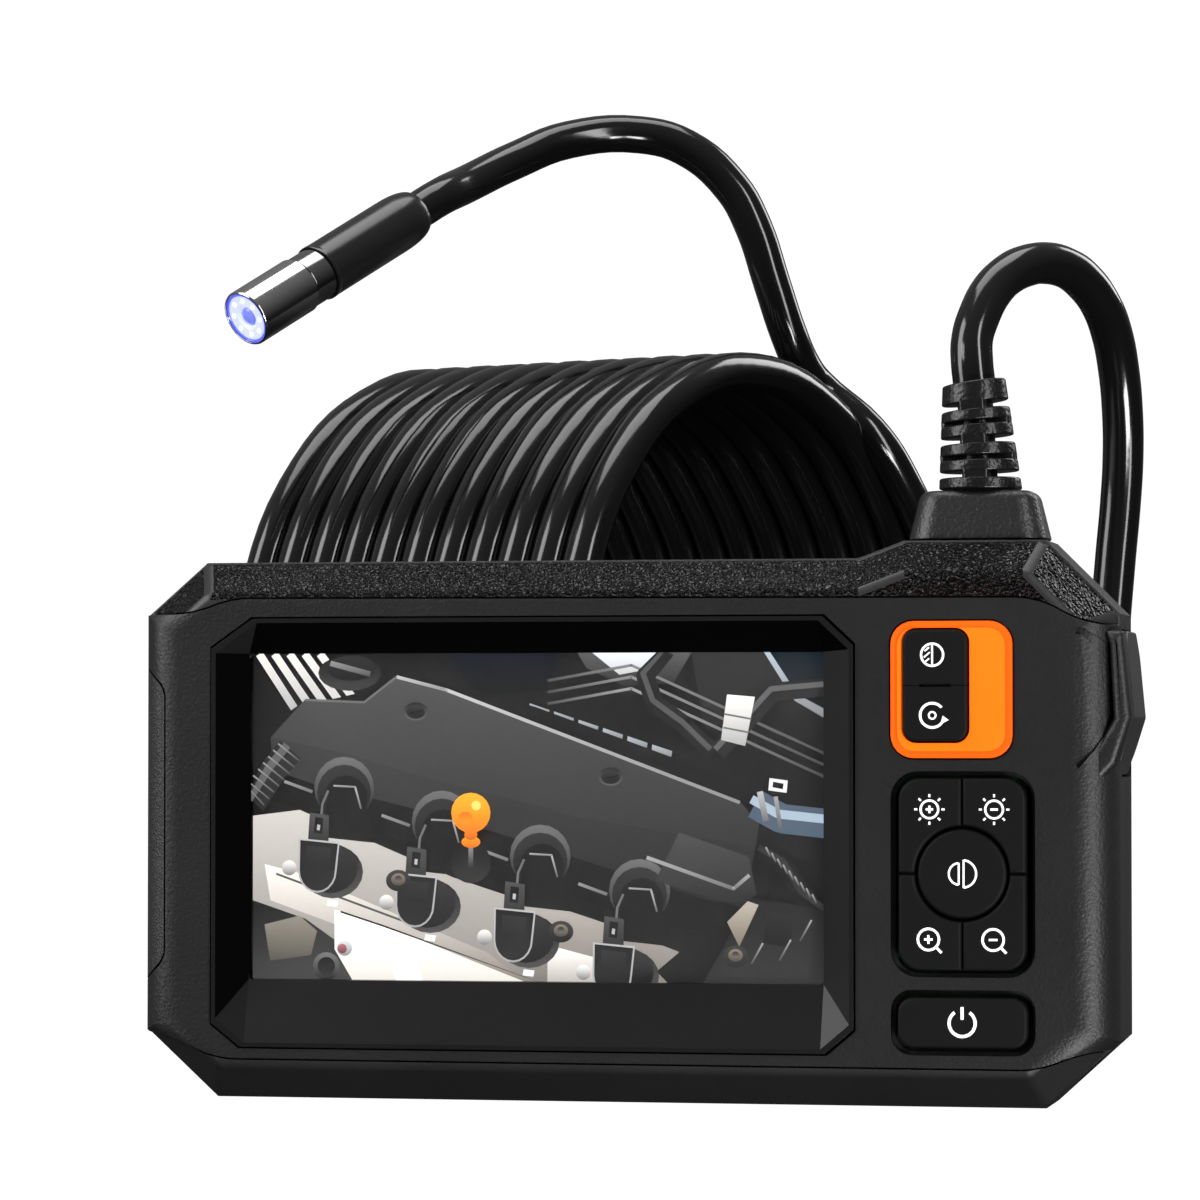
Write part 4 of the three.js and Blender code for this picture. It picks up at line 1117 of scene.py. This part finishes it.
def ignition_coil(picture, x, z):
    """One coil: a round-ended black cap with a pale edge, its plug and its wire."""
    picture.disc(x + 2.2, z - 6.6, 5.2, 0.02, 0.11, 0.85)
    picture.disc(x + 1.6, z - 6.0, 4.9, 0.055, 0.012, 0.85)
    picture.pipe([(x + 1.6, z + 6.6), (x + 0.6, z + 4.4), (x + 0.3, z + 1)], 1.3, 0.015, 0.2)
    picture.shape([(x - 1.7, z + 3.2), (x + 1.6, z + 2.7), (x + 1.5, z - 1.8), (x - 2, z - 1.4)], 0.11, 0.05)
    picture.shape([(x - 0.8, z + 2.4), (x + 0.6, z + 2.2), (x + 0.4, z - 0.4), (x - 1, z - 0.2)], 0.012)
    picture.shape([(x - 0.4, z + 1.2), (x + 0.1, z + 1.1), (x, z + 0.2), (x - 0.5, z + 0.3)], 0.5)
    for grow, top, bottom in ((0.3, 0.5, 0.42), (0, 0.02, 0.035)):
        rim = [(x + 3.1 + grow, z - 2 + grow), (x - 3.3 - grow, z - 1.4 + grow)]
        for i in range(11):
            a = math.pi + math.pi * i / 10
            rim.append((x - 0.4 + (3 + grow) * math.cos(a), z - 6.4 + (3.4 + grow) * math.sin(a)))
        picture.shape(rim, top, bottom)
    picture.shape([(x + 2, z - 2.7), (x - 2.2, z - 2.3), (x - 2.3, z - 5), (x + 1.6, z - 6)], 0.05, 0.025)
    picture.disc(x - 5.2, z - 6, 1.25, PALE, 0.25)
    picture.disc(x - 5.3, z - 5.9, 0.7, 0.75, 0.4)
    picture.shape([(x + 1.4, z - 11.2), (x + 3.2, z - 11.4), (x + 3, z - 12.4), (x + 1.2, z - 12.2)], 0.8)


def dipstick(picture):
    x, z = 37.2, 20.6
    picture.disc(x, z - 1.2, 3.4, DARK, 0.05)
    picture.line([(x, z + 1.5), (x, z - 2)], 0.8, 0.3, 0.04)
    picture.disc(x, z + 2.2, 1.6, AMBER, (0.75, 0.2, 0.01), 0.6)
    picture.disc(x, z + 3.4, 1.1, (0.9, 0.3, 0.01), (0.6, 0.16, 0.01), 0.8)
    picture.disc(x, z + 7, 3.3, (1.0, 0.5, 0.04), (0.92, 0.26, 0.01))
    picture.disc(x - 0.9, z + 6.2, 1.2, (0.72, 0.22, 0.01), (0.95, 0.36, 0.02), 0.8)
    picture.disc(x + 0.9, z + 8.2, 0.8, (1.0, 0.68, 0.22))


def fittings(picture):
    picture.pipe([(70, 54.4), (66.4, 50), (68, 45.6), (73, 42), (77.6, 37.6)], 3.0, 0.02, 0.12)
    picture.pipe([(78.4, 37.6), (83, 42.4), (87.6, 47.4), (WIDE + 0.5, 48.2)], 3.0, 0.035, 0.16)
    picture.shape([(80, 47), (84.6, 46.6), (83, 38.6), (79, 39.6)], PALE, 0.45)
    picture.line([(79.6, 43.8), (84, 43)], 0.3, 0.2)
    picture.line([(79.4, 41.6), (83.6, 40.8)], 0.3, 0.2)
    picture.pipe([(84.6, 29.2), (89, 26.8), (WIDE + 0.5, 26)], 4.8, (0.12, 0.16, 0.21), (0.42, 0.5, 0.58))
    picture.line([(85.4, 31.2), (86.4, 26.4)], 1.0, 0.5, 0.2)
    picture.line([(88, 30.4), (88.8, 25.2)], 0.7, 0.4, 0.16)
    picture.shape([(87, 33.4), (90, 33), (89.8, 31), (86.8, 31.4)], 0.75)
    picture.shape([(87.6, 32.8), (89.3, 32.5), (89.2, 31.6), (87.5, 31.9)], DARK)
    picture.pipe([(85.6, 21.6), (89.6, 19.4), (92.6, 14.4), (WIDE + 0.5, 11.6)], 3.4, 0.012, 0.05)
    for i in range(9):
        x, z = 86.4 + i * 0.95, 22.2 - i * 0.95
        picture.line([(x, z), (x + 0.7, z - 1.5)], 0.28, 0.42, 0.1)
    picture.shape([(84, 14), (WIDE, 12), (WIDE, 0), (76, 0)], 0.02, 0.05)
    picture.shape([(80, 10), (83.4, 13.4), (85.2, 12.8), (82, 6)], (0.5, 0.46, 0.4), (0.25, 0.22, 0.18))
    picture.shape([(86.5, 12), (91, 11), (90.4, 6), (86, 6.6)], 0.035, DARK)
    for x, z in ((84, 3.2), (88.6, 3.8), (92, 7)):
        picture.line([(x, z), (x + 1.9, z + 3.4)], 0.3, 0.4, 0.1)
    for x, z in ((25, 16.4), (52.4, 8.2), (81.4, 4.4)):
        picture.disc(x, z, 2.1, 0.08, 0.02, 0.85)
        picture.disc(x, z + 0.2, 1.2, (0.3, 0.26, 0.2), (0.12, 0.1, 0.08), 0.85)
        picture.disc(x, z + 0.3, 0.6, 0.03, 0.2, 0.85)
    picture.pipe([(0, 29), (3.6, 34.4), (6.6, 38)], 4.6, 0.04, 0.16)
    for i in range(8):
        x, z = 0.2 + i * 0.86, 30.4 + i * 1.05
        picture.line([(x - 1.7, z + 1.2), (x + 1.9, z - 1.6)], 0.26, 0.36, 0.12)


def display_picture():
    picture = Picture()
    engine_bay(picture)
    for face in picture.bm.faces:
        if face.normal.y > 0:
            face.normal_flip()
    glow = bpy.data.materials.new("display_picture")
    glow.use_nodes = True
    tree = glow.node_tree
    shader = tree.nodes["Principled BSDF"].inputs
    tint = shader_node(tree, "VertexColor", layer_name="picture").outputs["Color"]
    contrast = shader_node(tree, "Gamma", {"Color": tint, "Gamma": 1.3})
    tree.links.new(contrast.outputs["Color"], shader["Emission Color"])
    shader["Emission Strength"].default_value = 1.5
    shader["Base Color"].default_value = (*grey(0.004), 1)
    shader["Roughness"].default_value = 0.6
    return place("display_picture", picture.bm, "display_module", [glow])


display_picture()


# ---------- cable outlet ----------
BOOT_LOW, BOOT_HIGH = span("boot_base")
RELIEF_LOW, RELIEF_HIGH = span("strain_relief")
LEAN = 1.1
TILT = 0.14  # slope of the topmost plate
RELIEF_CORE = 2.9
RELIEF_BASE, RELIEF_TIP = 6.8, 5.15  # radii of the plates at both ends


def boot():
    """The boot's foot tapers upwards to a rounded shoulder."""
    foot = HUMP + GAP
    size = BOOT_HIGH - BOOT_LOW
    bm = upright_block((size.x, size.y, BOOT_HIGH.z - foot), 4.5, 8)
    bmesh.ops.scale(bm, vec=(0.83, 0.8, 1), verts=[v for v in bm.verts if v.co.z > 0])
    for side, width, segments in ((1, 1.5, 5), (-1, 0.35, 2)):
        rim = [e for e in bm.edges if all(v.co.z * side > 3 for v in e.verts) and e.calc_face_angle(0) > 0.5]
        bevel(bm, rim, width, segments)
    shifted(bm, OUTLET, 0, (BOOT_HIGH.z + foot) / 2)
    spigot = shifted(cylinder(CABLE_DIAMETER / 2 + 0.7, 11.6), OUTLET, 0, foot - 5.2)
    return place("boot", joined([bm, spigot]), "boot_rubber", [BOOT], replaces=["boot_base"])


def relief():
    """Plates on a core, held by webs that alternate from side to side, all leaning a little to the left."""
    height = RELIEF_HIGH.z - RELIEF_LOW.z

    def radius(z):
        return RELIEF_BASE - (RELIEF_BASE - RELIEF_TIP) * z / height

    plates = [(0, 1.9), (2.9, 4.8), (5.5, 7.5), (8.6, 10.6), (11.2, 13.1), (14.2, height)]
    stub = shifted(cylinder(CABLE_DIAMETER / 2, 3), 0, 0, height - 1.2)
    for face in stub.faces:
        face.material_index = 1
    shapes = [shifted(cylinder(RELIEF_CORE, height - 1), 0, 0, height / 2), stub]
    for z0, z1 in plates:
        plate = cylinder(radius(z0), z1 - z0, 56, radius(z1))
        soften(plate, 0.32, 3, 40)
        shapes.append(shifted(plate, 0, 0, (z0 + z1) / 2))
    for i, ((_, z0), (z1, _)) in enumerate(zip(plates, plates[1:])):
        reach = 2 * (radius(z0) - 0.15) - 0.1
        across = (4.4, reach) if i % 2 == 0 else (reach, 4.6)
        web = upright_block((*across, z1 - z0 + 0.6), 0.7, 3)
        shapes.append(shifted(web, 0, 0, (z0 + z1) / 2))
    whole = joined(shapes)
    for vert in whole.verts:
        share = max(0.0, vert.co.z / height)
        vert.co.z += TILT * vert.co.x * share
        vert.co.x -= LEAN * share
    shifted(whole, OUTLET, 0, RELIEF_LOW.z)
    return place("relief", whole, "boot_rubber", [RELIEF, CABLE], replaces=["strain_relief"])


boot()
relief()


# ---------- camera probe ----------
PROBE_AXIS = Vector((-0.5, -0.72, -0.477)).normalized()
PROBE_REAR = Vector(TAIL_ROUTE[-1]) + PROBE_AXIS * GAP
PROBE_LENGTH = 45.0
PROBE_RADIUS = 5.1
CAP_LENGTH = 13.7
NECK_LENGTH = 4.6
SHOULDER = 6.0
SHOULDER_STEPS = 8
LED_COUNT = 8
LED_RADIUS = 0.42
LED_RING = 3.2


def on_probe(bm):
    """Brings a shape from the Z axis to the probe, whose lens end is at zero."""
    turn = Vector((0, 0, 1)).rotation_difference(PROBE_AXIS).to_matrix()
    bmesh.ops.rotate(bm, matrix=turn, verts=bm.verts)
    return shifted(bm, *(PROBE_REAR + PROBE_AXIS * PROBE_LENGTH))


def turned(profile, segments=64):
    """A profile of radius and height pairs, spun about the probe's axis."""
    bm = bmesh.new()
    verts = [bm.verts.new((r, 0, z)) for r, z in profile]
    edges = [bm.edges.new(pair) for pair in zip(verts, verts[1:])]
    spin(bm, verts + edges, (0, 0, 0), (0, 0, 1), 360, segments)
    bmesh.ops.remove_doubles(bm, verts=bm.verts, dist=0.001)
    bmesh.ops.recalc_face_normals(bm, faces=bm.faces)
    return on_probe(bm)


def band(inner, outer, z0, z1, edge=0.12):
    """The profile of a tube with its outer edges broken."""
    near = edge * 0.3
    return [
        (inner, z0), (outer - edge, z0), (outer - near, z0 + near), (outer, z0 + edge), (outer, z1 - edge),
        (outer - near, z1 - near), (outer - edge, z1), (inner, z1), (inner, z0),
    ]


def probe():
    bore = PROBE_RADIUS - 0.8
    lip = PROBE_RADIUS - 0.42
    cap = [
        (bore, -CAP_LENGTH), (PROBE_RADIUS - 0.12, -CAP_LENGTH), (PROBE_RADIUS, -CAP_LENGTH + 0.12),
        (PROBE_RADIUS, -0.35), (PROBE_RADIUS - 0.1, -0.1), (PROBE_RADIUS - 0.25, 0), (lip + 0.04, 0),
        (lip, -0.12), (lip, -1.6), (bore, -1.6), (bore, -CAP_LENGTH),
    ]
    place("lens_cap", turned(cap), "probe_metal", [CHROME], replaces=["probe_cap"])
    neck_top = -CAP_LENGTH - GAP
    neck = turned(band(bore - 0.6, PROBE_RADIUS - 0.3, neck_top - NECK_LENGTH, neck_top))
    place("neck", neck, "probe_metal", [NECK], replaces=["probe_neck"])
    top = neck_top - NECK_LENGTH - GAP
    collar = CABLE_DIAMETER / 2 + 0.3
    sleeve = [(0, -PROBE_LENGTH)]
    for i in range(SHOULDER_STEPS + 1):
        angle = math.pi / 2 * i / SHOULDER_STEPS
        rise = SHOULDER * (1 - math.cos(angle))
        sleeve.append((collar + (PROBE_RADIUS - collar) * math.sin(angle), -PROBE_LENGTH + rise))
    bead = PROBE_RADIUS + 0.06
    sleeve += [
        (PROBE_RADIUS, top - 0.9), (bead, top - 0.75), (bead, top - 0.1), (PROBE_RADIUS - 0.05, top),
        (bore, top), (bore, -PROBE_LENGTH + 8), (0, -PROBE_LENGTH + 8),
    ]
    place("sleeve", turned(sleeve), "probe_shell", [SLEEVE], replaces=["probe_sleeve"])


def probe_front():
    """The clear ring over the emitters, with a shallow well round the lens and a bluer edge."""
    rim = PROBE_RADIUS - 0.45
    profile = [(1.75, -1.4), (rim, -1.4), (rim, -0.5), (3.9, -0.4), (2.3, -0.4), (1.75, -0.8), (1.75, -1.4)]
    place("light_ring", turned(profile), "display_glass", [RING], replaces=["probe_window"])
    place("light_ring_edge", turned(band(rim - 0.45, rim, -0.6, -0.3, 0.08)), "display_glass", [RING_EDGE])
    radius, base, height = 1.6, -1.0, 0.45
    dome = [(0, -1.5), (radius, -1.5), (radius, base)]
    dome += [(radius * math.cos(a), base + height * math.sin(a)) for a in (0.4, 0.8, 1.15)]
    dome.append((0, base + height))
    # the lens carries a painted blue glow
    place("front_lens", turned(dome, 40), "lens_glass", [GLOWING_PUPIL])
    sparks = bmesh.new()
    for i in range(LED_COUNT):
        made = bmesh.ops.create_icosphere(sparks, subdivisions=2, radius=LED_RADIUS)["verts"]
        angle = 2 * math.pi / LED_COUNT * i
        place_on_ring = (LED_RING * math.cos(angle), LED_RING * math.sin(angle), -0.5)
        bmesh.ops.translate(sparks, vec=place_on_ring, verts=made)
    place("light_points", on_probe(sparks), "led_emitter", [LED])


probe()
probe_front()


# ---------- materials of the pieces that keep their shape ----------
KEPT = {
    "display_window": GLASS, "display_gasket": FOAM, "display_panel": MODULE, "key_gasket": FOAM,
    "key_board": BOARD, "main_board": BOARD, "battery_pack": BATTERY, "battery_connector": CONNECTOR,
    "lead_connector": CONNECTOR, "usb_socket": SOCKET, "card_slot": SOCKET, "cable_clamp": CONNECTOR,
    "led_board": BOARD, "lens_barrel": STEEL, "lens": LENS, "image_sensor": BOARD,
}
for stem, count, material in (("case_screw", 4, STEEL), ("board_screw", 3, STEEL), ("led", 8, LED)):
    KEPT |= {f"{stem}_{i}": material for i in range(1, count + 1)}
for name, material in KEPT.items():
    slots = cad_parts[name].data.materials
    slots.clear()
    slots.append(material)


# ---------- light ----------
WHITE = (1, 1, 1, 1)
SKY_SEEN = 1.05
FILL = 0.09  # the fill at the horizon
FILL_RISE, FILL_LEAN = 0.2, -0.06  # its change towards the zenith and towards the right
FILL_LEAST = 0.015


def sky():
    """White to the eye, and for what it lights a dim fill that is brighter above and to the left."""
    world = bpy.data.worlds.new("studio")
    bpy.context.scene.world = world
    world.use_nodes = True
    tree = world.node_tree
    place = shader_node(tree, "TexCoord").outputs["Generated"]
    direction = shader_node(tree, "SeparateXYZ", {0: place}).outputs
    rise = maths(tree, "ADD", maths(tree, "MULTIPLY", direction["Z"], FILL_RISE), FILL)
    lean = maths(tree, "MULTIPLY", direction["X"], FILL_LEAN)
    strength = maths(tree, "MAXIMUM", maths(tree, "ADD", rise, lean), FILL_LEAST)
    fill = tree.nodes["Background"]
    fill.inputs["Color"].default_value = WHITE
    tree.links.new(strength, fill.inputs["Strength"])
    seen = shader_node(tree, "Background", {"Color": WHITE, "Strength": SKY_SEEN}).outputs[0]
    eye = shader_node(tree, "LightPath").outputs["Is Camera Ray"]
    mix = shader_node(tree, "MixShader", {0: eye, 1: fill.outputs[0], 2: seen})
    tree.links.new(mix.outputs[0], tree.nodes["World Output"].inputs["Surface"])


def floor():
    """A wide pale floor, as bright to the eye as the sky. It takes no part in the lighting."""
    material = bpy.data.materials.new("floor_paper")
    material.use_nodes = True
    tree = material.node_tree
    tree.nodes.clear()
    glow = shader_node(tree, "Emission", {"Color": WHITE, "Strength": SKY_SEEN}).outputs[0]
    shader_node(tree, "OutputMaterial", {"Surface": glow})
    mesh = bpy.data.meshes.new("floor")
    bm = bmesh.new()
    bmesh.ops.create_grid(bm, x_segments=1, y_segments=1, size=3)
    bm.to_mesh(mesh)
    bm.free()
    mesh.materials.append(material)
    paper = add("floor", mesh)
    paper.visible_diffuse = paper.visible_glossy = paper.visible_transmission = paper.visible_shadow = False


def lamp(name, at, width, height, power, aim=(0, 0.04, 0.06)):
    light = bpy.data.lights.new(name, "AREA")
    light.shape = "RECTANGLE"
    light.size = width
    light.size_y = height
    light.energy = power
    holder = add(name, light)
    holder.location = at
    holder.rotation_euler = (Vector(aim) - Vector(at)).to_track_quat("-Z", "Y").to_euler()


sky()
floor()
lamp("left_box", (-1.2, -0.6, 0.65), 0.6, 1.5, 18)
lamp("front_key", (-1.1, -1.15, 0.75), 0.5, 0.5, 5)
lamp("right_strip", (1.1, -0.8, 0.3), 0.25, 1.5, 12)
lamp("low_right", (0.7, -0.8, -0.45), 0.45, 0.3, 12)
lamp("top_box", (-0.05, 0.15, 1.5), 1.2, 0.8, 12)
lamp("back_strip", (0.9, 1.2, 0.9), 0.5, 1.0, 8)
bpy.context.scene.view_settings.view_transform = "Standard"
